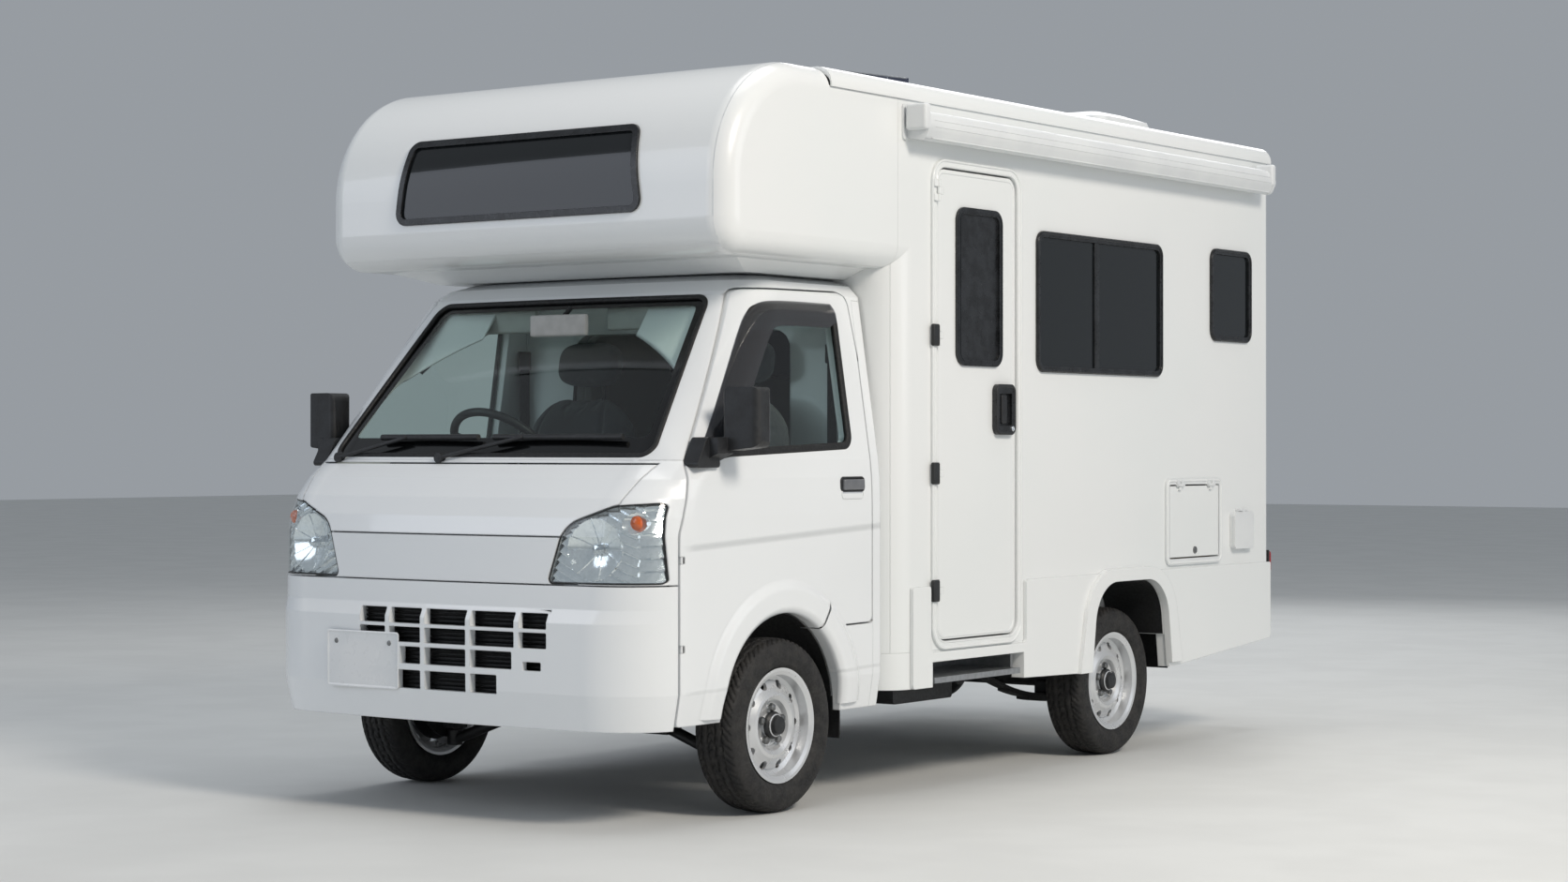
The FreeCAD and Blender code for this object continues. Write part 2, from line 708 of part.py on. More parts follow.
def leafSpring(x):
    # three leaves bowed under the axle, the longest with an eye at each end
    leaves = []
    sag = springEyeHeight - (axleHeight - 52)
    for step, share in enumerate((1.0, 0.7, 0.42)):
        half = springHalfLength * share
        rise = sag * share ** 2
        drop = 9.0 * step
        low = axleHeight - 52 - drop
        top = [V(x - springWidth / 2, yRearAxle - half, low + rise), V(x - springWidth / 2, yRearAxle, low),
               V(x - springWidth / 2, yRearAxle + half, low + rise)]
        bottom = [p - V(0, 0, 9.2) for p in top]
        face = Part.Face(Part.Wire([
            Part.Arc(*top).toShape(), Part.LineSegment(top[2], bottom[2]).toShape(),
            Part.Arc(*reversed(bottom)).toShape(), Part.LineSegment(bottom[0], top[0]).toShape()]))
        leaves.append(face.extrude(V(springWidth, 0, 0)))
    for end in (-1, 1):
        y = yRearAxle + end * springHalfLength
        leaves.append(rod(V(x - springWidth / 2, y, springEyeHeight), V(x + springWidth / 2, y, springEyeHeight), 17))
    return fused(leaves)


def makePropellerShaft():
    tail = V(0, yRearAxle - axleNoseReach - shaftEndGap, axleHeight)
    head = V(0, yFrontAxle + 440 + seatGap, 306)
    shaft = rod(head, tail, 28)
    return shaft


def makeFuelTank():
    corners = rectangle(yFrontAxle + 680, yFrontAxle + 1240, 225, 380, 40)
    return prism("YZ", corners, -railHalfSpacing - railWidth / 2 - 290,
                 -railHalfSpacing - railWidth / 2 - seatGap)


def makeBatteryBox():
    corners = rectangle(yFrontAxle + 900, yFrontAxle + 1250, 235, 392, 12)
    return prism("YZ", corners, railHalfSpacing + railWidth / 2 + seatGap,
                 railHalfSpacing + railWidth / 2 + 130)


def makeExhaust():
    # one straight line beside the shaft: front pipe, silencer between two cross members, tail pipe
    x = -170.0
    muffler = rod(V(x, yFrontAxle + 1070, 285), V(x, yFrontAxle + 1430, 285), 62)
    front = rod(V(x, yFrontAxle + 441, 316), V(x, yFrontAxle + 1080, 300), 19)
    tail = rod(V(x, yFrontAxle + 1420, 318), V(x, shellRearY - 90, 318), 17)
    hangers = [box(x - 12, x + 12, y - 3, y + 3, 320, railBottomHeight + 8 - seatGap)
               for y in (yFront + crossMembers[3], yFront + crossMembers[5])]
    return fused([muffler, front, tail] + hangers)


lowerArmHeight = 175.0
ballPinRadius = 10.0
strutSpringRadius = 34.0
strutPistonRadius = 9.0


def makeFrontSuspension():
    beam = box(-330, 330, yFrontAxle - 35, yFrontAxle + 35, 205, 290)
    pieces = [beam]
    for side in (-1, 1):
        inner = V(side * 300, yFrontAxle, 225)
        outer = V(side * kingpinX, yFrontAxle, lowerArmHeight - 38)
        pieces.append(rod(inner, outer, 17))
        pieces.append(rod(V(side * kingpinX, yFrontAxle, lowerArmHeight - 54),
                          V(side * kingpinX, yFrontAxle, lowerArmHeight - 6), 24))
        pieces.append(rod(V(side * kingpinX, yFrontAxle, lowerArmHeight - 7),
                          V(side * kingpinX, yFrontAxle, lowerArmHeight + 18), ballPinRadius))
        pieces.append(rod(V(side * 320, yFrontAxle, 250),
                          V(side * 320, yFrontAxle, railBottomHeight - seatGap), 28))
    return fused(pieces)


def makeStrutSpring(side):
    # spring seat and coil stand-in, round the strut's rod, up to the wheelhouse roof
    drop = math.sqrt(wheelhouseRadius ** 2 - strutSpringRadius ** 2)
    top = axleHeight + drop - seatGap
    low = top - 105
    seat = rod(V(side * kingpinX, yFrontAxle, low), V(side * kingpinX, yFrontAxle, top), strutSpringRadius)
    hole = rod(V(side * kingpinX, yFrontAxle, low - 10), V(side * kingpinX, yFrontAxle, top - 20),
               strutPistonRadius + runningGap)
    return seat.cut(hole)


def makeKnuckle(side):
    def at(x, z):
        return V(side * x, yFrontAxle, z)
    upright = box(-22, 22, -32, 32, lowerArmHeight, axleHeight + 110)
    upright.translate(V(side * kingpinX, yFrontAxle, 0))
    plate = tyreCentreX + hubInner - hubGap
    carrier = rod(at(kingpinX - 10, axleHeight), at(plate - 5, axleHeight), 46)
    disc = rod(at(plate - plateThickness, axleHeight), at(plate, axleHeight), 108)
    spindle = rod(at(plate - 5, axleHeight), at(tyreCentreX + 20, axleHeight), spindleRadius)
    strut = rod(at(kingpinX, axleHeight + 60), at(kingpinX, axleHeight + wheelhouseRadius - 115), 25)
    piston = rod(at(kingpinX, axleHeight + 60), at(kingpinX, axleHeight + wheelhouseRadius - 60), strutPistonRadius)
    arm = box(-14, 14, 0, 130, axleHeight - 40, axleHeight - 22)
    arm.translate(V(side * (kingpinX - 12), yFrontAxle, 0))
    bore = rod(at(kingpinX, lowerArmHeight - 1), at(kingpinX, lowerArmHeight + 20), ballPinRadius + runningGap)
    return fused([upright, carrier, disc, spindle, strut, piston, arm]).cut(bore)


def turned(points, middle, side=1):
    # a solid of revolution about the wheel's axle; points are (distance outwards, radius)
    corners = [V(side * (middle[0] + x), middle[1], middle[2] + r) for x, r in points]
    face = Part.Face(Part.makePolygon(corners + corners[:1]))
    return face.revolve(V(side * middle[0], middle[1], middle[2]), V(1, 0, 0), 360)


def makeTyre(side, y):
    half = tyreWidth / 2
    outer = tyreDiameter / 2
    shoulder = 14.0
    bulge = (outer + rimFlangeRadius) / 2
    bead = rimHalfWidth - 10 - seatGap
    # half of the section from bead to tread, then its mirror
    edge = [(-bead, rimRadius + seatGap), (-bead - 1, rimFlangeRadius - 3), (-rimHalfWidth + 2, rimFlangeRadius + 1),
            (-rimHalfWidth - 5, rimFlangeRadius + 9), (-half, bulge - 8),
            (-half, bulge + 10), (-half + 5, outer - shoulder), (-half + 14, outer - 3), (-half + 32, outer)]
    section = edge + [(-x, r) for x, r in reversed(edge)]
    inner = [(bead - 8, rimRadius + 14), (half - 14, bulge), (half - 24, outer - 14),
             (-half + 24, outer - 14), (-half + 14, bulge), (-bead + 8, rimRadius + 14)]
    tyre = turned(section, (tyreCentreX, y, axleHeight), side)
    return tyre.cut(turned(inner, (tyreCentreX, y, axleHeight), side))


ventCount = 10
ventRadius = 13.5
ventCircle = 121.0
nutCount = 5
nutCircle = 51.0
hubBoreDepth = 92.0


def makeWheel(side, y):
    middle = (tyreCentreX, y, axleHeight)
    half = rimHalfWidth
    seat = rimRadius
    # rim: flanges, bead seats and drop centre
    rim = [(-half, rimFlangeRadius), (-half + 9, rimFlangeRadius - 4), (-half + 10, seat),
           (-20, seat - 3), (-14, seat - 20), (16, seat - 20), (22, seat - 3), (half - 10, seat),
           (half - 9, rimFlangeRadius - 4), (half, rimFlangeRadius), (half - 1, rimFlangeRadius - 9),
           (half - 6, seat - 5), (26, seat - 8), (19, seat - 25), (-17, seat - 25), (-24, seat - 8),
           (-half + 5, seat - 5), (-half + 1, rimFlangeRadius - 9)]
    # disc: from the drop centre out to the raised ring, then the recessed bowl with the nuts
    disc = [(14, seat - 24), (24, seat - 24), (31, 112), (41, 96), (43, 86), (36, 74), (22, 66),
            (19, 60), (19, 34), (47, 33), (50, 26), (50, 0), (hubInner, 0), (hubInner, 40), (4, 40),
            (8, 60), (12, 70), (28, 84), (24, 104), (18, 116)]
    wheel = turned(rim, middle, side).fuse(turned(disc, middle, side))
    centre = V(side * tyreCentreX, y, axleHeight)
    bore = rod(centre + V(side * -80, 0, 0), centre + V(side * 22, 0, 0), spindleRadius + runningGap)
    wheel = wheel.cut(bore)
    for i in range(ventCount):
        angle = 2 * math.pi * (i + 0.5) / ventCount
        hole = centre + V(0, math.sin(angle) * ventCircle, math.cos(angle) * ventCircle)
        wheel = wheel.cut(rod(hole + V(side * 0, 0, 0), hole + V(side * 60, 0, 0), ventRadius))
    nuts = []
    for i in range(nutCount):
        angle = 2 * math.pi * i / nutCount
        spot = centre + V(0, math.sin(angle) * nutCircle, math.cos(angle) * nutCircle)
        nuts.append(rod(spot + V(side * 15, 0, 0), spot + V(side * 32, 0, 0), 8.5))
    return wheel.fuse(nuts).removeSplitter()


flapThickness = 5.0


def makeMudflaps():
    flaps = []
    # columns: Y, outer edge's X, foot and top heights
    table = [(yFrontAxle + 352, cabHalfWidth - cabFootInset - doorDepth - seatGap, 185, 395),
             (yRearAxle + 355, shellHalfWidth - 35 - seatGap, 275, shellFloorHeight - seatGap)]
    for y, outer, foot, top in table:
        for side in (-1, 1):
            x0, x1 = sorted((side * (outer - 140), side * outer))
            flaps.append(box(x0, x1, y, y + flapThickness, foot, top))
    return flaps


# Camper shell
def makeNose():
    # the over-cab nose as far as the roof panel's front edge, its side edges rounded all the way;
    # behind that edge its walls end just inside the roof's side strips
    notchHeight = shellTopHeight + roofThickness - roofStripDrop + 3
    corners = [
        (roofFrontY, noseTopHeight, 0), (noseFrontY, noseTopHeight, noseUpperRadius),
        (noseFrontY, noseBottomHeight, noseLowerRadius), (shellFrontY + 120, noseBottomHeight, 0),
        (shellFrontY + 120, notchHeight, 0), (roofFrontY, notchHeight, 0)]
    block = prism("YZ", corners, -shellHalfWidth, shellHalfWidth)
    edges = []
    for edge in block.Edges:
        bounds = edge.BoundBox
        onSide = abs(abs(bounds.XMin) - shellHalfWidth) < 1e-3 and bounds.XLength < 1e-3
        outer = (bounds.ZMax > noseTopHeight - 1 or bounds.YMin < noseFrontY + 1
                 or bounds.ZMin < noseBottomHeight + 1) and bounds.YMax < shellFrontY + 121
        inner = bounds.YMin > roofFrontY - 1 and bounds.ZMin > noseBottomHeight + 1
        upright = bounds.YLength < 1e-3 and bounds.YMin > noseFrontY + 1
        if onSide and outer and not inner and not upright:
            edges.append(edge)
    return block.makeFillet(noseEdgeRadius, edges)


def makeShellBlock():
    # the box behind the cab: plan with rounded front corners, section with rounded roof edges
    half = shellHalfWidth
    plan = [(-half, shellRearY, 30), (-half, shellFrontY, shellCornerRadius),
            (half, shellFrontY, shellCornerRadius), (half, shellRearY, 30)]
    block = prism("XY", plan, shellFloorHeight, shellTopHeight)
    section = [(-half, shellFloorHeight - 1, 0), (half, shellFloorHeight - 1, 0),
               (half, shellTopHeight, roofEdgeRadius - roofThickness),
               (-half, shellTopHeight, roofEdgeRadius - roofThickness)]
    return block.common(prism("XZ", section, shellFrontY - 1, shellRearY + 1))


def makeFairing():
    # the flare under the nose that meets the cab's roof
    high = noseBottomHeight + 20
    low = cabRoofHeight + 3
    wires = []
    for z, half, front in ((low, 600, yFrontAxle - 10), (high, 720, yFrontAxle - 235)):
        points = [V(-half, shellFrontY + 10, z), V(-half, front, z), V(half, front, z), V(half, shellFrontY + 10, z)]
        wires.append(Part.makePolygon(points + points[:1]))
    return Part.makeLoft(wires, True, True)


def makeColumnFeet():
    # the shell's front corners run on down beside the door to the skirt's foot
    half = shellHalfWidth
    feet = []
    corner = [(half - 110, shellFrontY, 0), (half, shellFrontY, shellCornerRadius),
              (half, entryFrameFrontY - 8, 0), (half - shellWall, entryFrameFrontY - 8, 0),
              (half - shellWall, shellFrontY + 130, 20), (half - 110, shellFrontY + shellWall, 0)]
    foot = prism("XY", corner, skirtBottomHeight + 18, shellFloorHeight + 1)
    feet.append(foot)
    feet.append(mirrored(foot))
    return feet


entryFrameFrontY = yFrontAxle + 711.0
entryFrameRearY = yFrontAxle + 1242.0
entryFrameLow = 430.0
entryFrameHigh = 1950.0
entryFrameWidth = 26.0
entryFrameProud = 7.0
entryCorner = 75.0
sideWindows = {
    # low Y, high Y behind the front axle, low Z, high Z
    "main": (1341, 2195, 1302, 1764),
    "small": (2561, 2880, 1440, 1775),
}
windowCorner = 42.0
windowFrameWidth = 20.0
windowProud = 8.0
rearWindow = (-330, 330, 1330, 1720)
bunkWindow = [(-478, 1727, 38), (478, 1727, 38), (442, 1985, 38), (-442, 1985, 38)]
hatchFrame = (2222, 2644, 640, 946)
inletFrame = (2719, 2866, 687, 818)
hatchWidth = 22.0


def sideOutline(spans, radius, by=0.0):
    y0, y1, z0, z1 = spans
    return grown(rectangle(yFrontAxle + y0, yFrontAxle + y1, z0, z1, radius), by)


def entryOutline(by=0.0):
    return grown(rectangle(entryFrameFrontY, entryFrameRearY, entryFrameLow, entryFrameHigh, entryCorner), by)


def rearArchOutline(by=0.0, low=0.0):
    top = rearArchTopHeight + by
    return [
        (yRearAxle - rearArchHalfBottom - by, low, 0), (yRearAxle - rearArchHalfTop - by, top, rearArchCorner + by),
        (yRearAxle + rearArchHalfTop + by, top, rearArchCorner + by), (yRearAxle + rearArchHalfBottom + by, low, 0)]


def shellPanels(shell):
    # wheel boxes, floor, roof deck, side walls, rear and front walls, and the nose in five pieces
    wide, low, high = sideReach, 0.0, shellTopHeight + 100
    front, rear = noseFrontY - 50, shellRearY + 100
    wall = shellHalfWidth - shellWall
    frontWall = shellFrontY + shellWall
    floorTop = shellFloorHeight + shellWall
    archY0, archY1 = yRearAxle - rearArchHalfBottom - 15, yRearAxle + rearArchHalfBottom + 15
    legY0, legY1 = yRearAxle - rearArchHalfTop, yRearAxle + rearArchHalfTop
    archTop = rearArchTopHeight + 15
    bendY0, bendY1 = legY0 + rearArchCorner, legY1 - rearArchCorner
    spans = [(archY0, legY0), (legY0, bendY0), (bendY0, bendY1), (bendY1, legY1), (legY1, archY1)]
    doorSeam = entryFrameRearY + 20
    noseSide = wall - 18
    boxInner = wheelBoxInnerX - 15
    regions = []
    for side in (-1, 1):
        # a wheel box: its inner wall, then legs, corners and top from front to rear
        x0, x1 = sorted((side * boxInner, side * wheelBoxInnerX))
        regions.append(box(x0, x1, archY0, archY1, shellFloorHeight, archTop))
        x0, x1 = sorted((side * boxInner, side * wall))
        regions += [box(x0, x1, y0, y1, shellFloorHeight, archTop) for y0, y1 in spans]
    regions += [box(-wide, wide, front, rear, low, floorTop),
                box(-wall, wall, frontWall, rear, shellTopHeight - shellWall, high)]
    for x0, x1 in ((wall, wide), (-wide, -wall)):
        # a side wall: beside the entry door, above the wheel, and round the arch
        regions += [box(x0, x1, frontWall, doorSeam, low, high), box(x0, x1, doorSeam, rear, archTop, high)]
        regions += [box(x0, x1, y0, y1, low, high)
                    for y0, y1 in [(doorSeam, legY0)] + spans[1:4] + [(legY1, rear)]]
    ahead = box(-wide, wide, front, frontWall, floorTop, high)
    body = panelsOf(shell.cut(ahead), regions + [box(-wide, wide, shellRearY - shellWall, rear, low, high)])
    nose = panelsOf(shell.common(ahead), [
        box(-wide, wide, shellFrontY, rear, low, noseBottomHeight),
        box(noseSide, wide, front, rear, low, high),
        box(-wide, -noseSide, front, rear, low, high),
        box(-wide, wide, front, rear, low, noseBottomHeight + shellWall),
        box(-wide, wide, noseFrontY + noseUpperRadius, rear, low, high)])
    return {
        "shell_wheel_boxes": sum(body[:12], []), "shell_floor": body[12],
        "shell_side_walls": sum(body[14:28], []),
        "camper_shell": body[13] + sum(body[28:], []) + sum(nose, [])}


def makeShell():
    shell = fused([makeShellBlock(), makeNose(), makeFairing()])
    half = shellHalfWidth
    wall = shellWall
    # inside: the main room and the bunk over the cab
    room = box(-half + wall, half - wall, shellFrontY + wall, shellRearY - wall,
               shellFloorHeight + wall, shellTopHeight - wall)
    bunkCorners = [
        (shellFrontY + wall + 5, noseBottomHeight + wall, 0), (shellFrontY + wall + 5, shellTopHeight - wall, 0),
        (noseFrontY + wall, shellTopHeight - wall, noseUpperRadius - wall),
        (noseFrontY + wall, noseBottomHeight + wall, noseLowerRadius - wall)]
    bunk = prism("YZ", bunkCorners, -half + wall + 18, half - wall - 18)
    shell = shell.cut(room.fuse(bunk))
    # wheel boxes in the floor
    boxes = []
    holes = []
    for side in (-1, 1):
        inner = side * (wheelBoxInnerX - 15)
        outer = side * (half - 5)
        boxes.append(box(min(inner, outer), max(inner, outer), yRearAxle - rearArchHalfBottom - 15,
                         yRearAxle + rearArchHalfBottom + 15, shellFloorHeight, rearArchTopHeight + 15))
        inner = side * wheelBoxInnerX
        outer = side * (half + 20)
        holes.append(prism("YZ", rearArchOutline(), min(inner, outer), max(inner, outer)))
    shell = shell.fuse(boxes)
    shell = shell.cut(fused(holes))
    # raised frame round the entry door, and every opening in the walls
    ring = prism("YZ", entryOutline(), half - 5, half + entryFrameProud)
    shell = shell.fuse(ring)
    cuts = [prism("YZ", entryOutline(-entryFrameWidth), half - wall - 20, half + 50)]
    for name, spans in sideWindows.items():
        inner = sideOutline(spans, windowCorner, -windowFrameWidth / 2)
        cuts.append(prism("YZ", inner, half - wall - 20, half + 50))
        if name == "main":
            cuts.append(prism("YZ", inner, -half - 50, -half + wall + 20))
    cuts.append(prism("YZ", sideOutline(hatchFrame, 30, -hatchWidth), half - wall - 20, half + 50))
    x0, x1, z0, z1 = rearWindow
    cuts.append(prism("XZ", grown(rectangle(x0, x1, z0, z1, windowCorner), -windowFrameWidth / 2),
                      shellRearY - wall - 20, shellRearY + 50))
    cuts.append(prism("XZ", grown(bunkWindow, -windowFrameWidth / 2), noseFrontY - 50, noseFrontY + 150))
    cuts.append(prism("XZ", passThroughOutline, shellFrontY - 20, shellFrontY + wall + 20))
    cuts.append(ventHole())
    for piece in cuts:
        shell = shell.cut(piece)
    shell = shell.fuse(makeColumnFeet() + [piece for fixed, turning in entryHinges() for piece in fixed])
    return shellPanels(biggest(shell))


def makeRoof():
    half = shellHalfWidth + roofStripProud
    top = shellTopHeight + roofThickness
    low = top - roofStripDrop
    outer = [(-half, low, 0), (half, low, 0), (half, top, roofEdgeRadius), (-half, top, roofEdgeRadius)]
    inner = shellHalfWidth + seatGap
    ceiling = shellTopHeight + seatGap
    radius = roofEdgeRadius - roofThickness
    under = [(-inner, low - 10, 0), (inner, low - 10, 0), (inner, ceiling, radius), (-inner, ceiling, radius)]
    roof = prism("XZ", outer, roofFrontY + 3, shellRearY + roofStripProud)
    roof = roof.cut(prism("XZ", under, roofFrontY - 50, shellRearY + 50))
    base = prism("XY", ventSquare(ventHalf - 8, 25), top - 2, top + ventBaseHeight)
    roof = fused([roof, base] + ventLugs(top)).cut(ventHole())
    return biggest(roof)


ventX = 330.0
ventY = yFrontAxle + 2420.0
ventHalf = 180.0
ventBaseHeight = 30.0
ventLidOverlap = 15.0
ventLidHeight = 62.0
ventAxisY = ventY + ventHalf + 5
ventAxisHeight = shellTopHeight + roofThickness + ventBaseHeight + 6
ventPinRadius = 3.0


def ventSquare(half, radius):
    return rectangle(ventX - half, ventX + half, ventY - half, ventY + half, radius)


def ventHole():
    return prism("XY", ventSquare(ventHalf - 30, 20), shellTopHeight - 60,
                 shellTopHeight + roofThickness + ventBaseHeight + 5)


def ventLugs(top):
    # lugs outside the lid at its rear corners, each with a pin into the lid
    lugs = []
    reach = ventHalf + ventLidOverlap + 2
    for side in (-1, 1):
        x0, x1 = sorted((ventX + side * (ventHalf - 25), ventX + side * (reach + 8)))
        lugs.append(box(x0, x1, ventAxisY - 35, ventAxisY + 8, top + 8, top + ventBaseHeight - 10))
        x0, x1 = sorted((ventX + side * reach, ventX + side * (reach + 8)))
        lugs.append(box(x0, x1, ventAxisY - 35, ventAxisY + 8, top + 8, ventAxisHeight + 7))
        lugs.append(rod(V(ventX + side * (reach + 4), ventAxisY, ventAxisHeight),
                        V(ventX + side * (reach - 16), ventAxisY, ventAxisHeight), ventPinRadius))
    return lugs


def makeVentLid():
    low = shellTopHeight + roofThickness + ventBaseHeight + seatGap
    half = ventHalf + ventLidOverlap
    # a low dome: three square sections, each smaller than the one below
    wires = []
    for z, reach in ((low, half), (low + 0.6 * ventLidHeight, half - 12), (low + ventLidHeight, half - 80)):
        wires.append(outlineFace("XY", ventSquare(reach, 40), z).OuterWire)
    lid = Part.makeLoft(wires, True, True)
    for side in (-1, 1):
        lid = lid.cut(rod(V(ventX + side * (half + 5), ventAxisY, ventAxisHeight),
                          V(ventX + side * (half - 16), ventAxisY, ventAxisHeight), ventPinRadius + runningGap))
    return lid


solarFront = 215.0
solarLength = 640.0
solarHalfWidth = 600.0


solarThickness = 18.0
solarFrontStand = 2.0                   # the panel's underside above the roof, front and rear
solarRearStand = 28.0


def makeSolarPanel():
    top = shellTopHeight + roofThickness
    y = yFrontAxle + solarFront
    rise = (solarRearStand - solarFrontStand) / solarLength
    panel = prism("YZ", [
        (y, top + solarFrontStand, 0), (y, top + solarFrontStand + solarThickness, 0),
        (y + solarLength, top + solarRearStand + solarThickness, 0), (y + solarLength, top + solarRearStand, 0)],
        -solarHalfWidth, solarHalfWidth)
    feet = []
    for x in (-solarHalfWidth + 60, solarHalfWidth - 60):
        for foot in (y + 60, y + solarLength - 60):
            under = top + solarFrontStand + rise * (foot + 35 - y) + 1
            feet.append(box(x - 35, x + 35, foot - 35, foot + 35, top + seatGap, under))
    return fused([panel] + feet)


def makeWindowFrames():
    half = shellHalfWidth
    frames = []
    for name, spans in sideWindows.items():
        outer = prism("YZ", sideOutline(spans, windowCorner), half + seatGap, half + windowProud)
        inner = prism("YZ", sideOutline(spans, windowCorner, -windowFrameWidth), half - 20, half + 50)
        frame = outer.cut(inner)
        frames.append(frame)
        if name == "main":
            frames.append(mirrored(frame))
    x0, x1, z0, z1 = rearWindow
    outer = prism("XZ", rectangle(x0, x1, z0, z1, windowCorner), shellRearY + seatGap, shellRearY + windowProud)
    inner = prism("XZ", grown(rectangle(x0, x1, z0, z1, windowCorner), -windowFrameWidth),
                  shellRearY - 20, shellRearY + 50)
    frames.append(outer.cut(inner))
    layer = noseBand(-windowProud, -seatGap)
    outer = prism("XZ", bunkWindow, noseFrontY - 50, noseFrontY + 150)
    inner = prism("XZ", grown(bunkWindow, -windowFrameWidth), noseFrontY - 50, noseFrontY + 150)
    frames.append(biggest(layer.common(outer).cut(inner)))
    return frames


def noseBand(outer, inner):
    # a layer of the nose's front between two depths, for the bunk window
    def solid(i):
        corners = [
            (shellFrontY, noseTopHeight - i, 0), (noseFrontY + i, noseTopHeight - i, noseUpperRadius - i),
            (noseFrontY + i, noseBottomHeight + i, noseLowerRadius - i), (shellFrontY, noseBottomHeight + i, 0)]
        return prism("YZ", corners, -600, 600)
    return solid(outer).cut(solid(inner))


paneThickness = 5.0


def makeWindowPanes():
    half = shellHalfWidth
    panes = []
    by = -windowFrameWidth / 2 - seatGap
    for name, spans in sideWindows.items():
        pane = prism("YZ", sideOutline(spans, windowCorner, by), half - paneThickness, half)
        panes.append(pane)
        if name == "main":
            panes.append(mirrored(pane))
    x0, x1, z0, z1 = rearWindow
    panes.append(prism("XZ", grown(rectangle(x0, x1, z0, z1, windowCorner), by),
                       shellRearY - paneThickness, shellRearY))
    layer = noseBand(0, paneThickness)
    panes.append(biggest(layer.common(prism("XZ", grown(bunkWindow, by), noseFrontY - 50, noseFrontY + 150))))
    return panes


hingePinRadius = 2.5


def hingePair(along, pin, middle, length, radius, frameFoot, leafFoot):
    # a hinge in the side wall: two barrels and the pin for the frame, one barrel for the leaf;
    # pin and feet are given across the pin, as X and then Y (pin along Z) or Z (pin along Y)
    def point(w):
        return V(pin[0], pin[1], w) if along == "Z" else V(pin[0], w, pin[1])

    def foot(spans, w0, w1):
        x0, x1, v0, v1 = spans
        return box(x0, x1, v0, v1, w0, w1) if along == "Z" else box(x0, x1, w0, w1, v0, v1)

    low = middle - length / 2
    third = length / 3
    fixed = [rod(point(low), point(low + length), hingePinRadius)]
    for w0, w1 in ((low, low + third - seatGap), (low + 2 * third + seatGap, low + length)):
        fixed += [rod(point(w0), point(w1), radius), foot(frameFoot, w0, w1)]
    turning = fused([rod(point(low + third), point(low + 2 * third), radius),
                     foot(leafFoot, low + third, low + 2 * third)])
    return fixed, turning.cut(rod(point(low), point(low + length), hingePinRadius + runningGap))


entryHingeHeights = (614.0, 976.0, 1403.0, 1850.0)
entryPin = (shellHalfWidth + entryFrameProud + 6.5, entryFrameFrontY + entryFrameWidth + shutGap / 2)
hatchPin = (shellHalfWidth + 13.5, hatchFrame[3] - hatchWidth - shutGap / 2)
inletPin = (shellHalfWidth + 17.0, inletFrame[3] + 7.0)


def entryHinges():
    x, y = entryPin
    return [hingePair("Z", entryPin, height, 66, 6, (shellHalfWidth + 2, x, y - 26, y),
                      (shellHalfWidth - 2, x, y + shutGap / 2, y + 26)) for height in entryHingeHeights]


def hatchHinges():
    x, z = hatchPin
    ends = (yFrontAxle + hatchFrame[0] + 95, yFrontAxle + hatchFrame[1] - 95)
    return [hingePair("Y", hatchPin, middle, 48, 5, (shellHalfWidth + 2, x, z, z + 18),
                      (shellHalfWidth + 2, x, z - 18, z - shutGap / 2)) for middle in ends]


def inletHinge():
    x, z = inletPin
    middle = yFrontAxle + (inletFrame[0] + inletFrame[1]) / 2
    return hingePair("Y", inletPin, middle, 60, 4, (shellHalfWidth + 6, x, z - 4, z + 4),
                     (shellHalfWidth + inletDepth + 1, x + 4, z - 7, z))


entryThickness = 30.0
entryWindow = (853, 1125, 1312, 1809)


def makeEntryDoor():
    half = shellHalfWidth
    outline = entryOutline(-entryFrameWidth - shutGap)
    leaf = prism("YZ", outline, half - entryThickness, half)
    inner = sideOutline(entryWindow, 45, -windowFrameWidth / 2)
    leaf = leaf.cut(prism("YZ", inner, half - 80, half + 50))
    return fused([leaf] + [turning for fixed, turning in entryHinges()])


def makeEntryWindow():
    half = shellHalfWidth
    frame = prism("YZ", sideOutline(entryWindow, 45), half + seatGap, half + windowProud)
    frame = frame.cut(prism("YZ", sideOutline(entryWindow, 45, -windowFrameWidth), half - 20, half + 50))
    by = -windowFrameWidth / 2 - seatGap
    pane = prism("YZ", sideOutline(entryWindow, 45, by), half - paneThickness, half)
    return [frame, pane]


entryHandle = (1072, 1190, 1096, 1258)


def makeEntryHandle():
    half = shellHalfWidth
    plate = prism("YZ", sideOutline(entryHandle, 25), half + seatGap, half + 16)
    y0, y1, z0, z1 = entryHandle
    grip = box(half + 5, half + 40, yFrontAxle + y0 + 22, yFrontAxle + y1 - 22, z0 + 30, z1 - 30)
    return plate.cut(grip)


def makeHatchLid():
    half = shellHalfWidth
    lid = prism("YZ", sideOutline(hatchFrame, 30, -hatchWidth - shutGap), half - 18, half + 6)
    return fused([lid] + [turning for fixed, turning in hatchHinges()])


def makeHatchFrame():
    half = shellHalfWidth
    ring = prism("YZ", sideOutline(hatchFrame, 30), half + seatGap, half + 8)
    ring = ring.cut(prism("YZ", sideOutline(hatchFrame, 30, -hatchWidth), half - 20, half + 50))
    return fused([ring] + [piece for fixed, turning in hatchHinges() for piece in fixed])


inletDepth = 14.0


def makeInletBox():
    half = shellHalfWidth
    plate = prism("YZ", sideOutline(inletFrame, 14), half + seatGap, half + inletDepth)
    plate = plate.cut(prism("YZ", sideOutline(inletFrame, 10, -14), half + 4, half + 50))
    shelf = box(half + seatGap, half + inletDepth - 2, plate.BoundBox.Center.y - 30, plate.BoundBox.Center.y + 30,
                inletFrame[3] - 8, inletPin[1] + 4)
    return fused([plate, shelf] + inletHinge()[0])


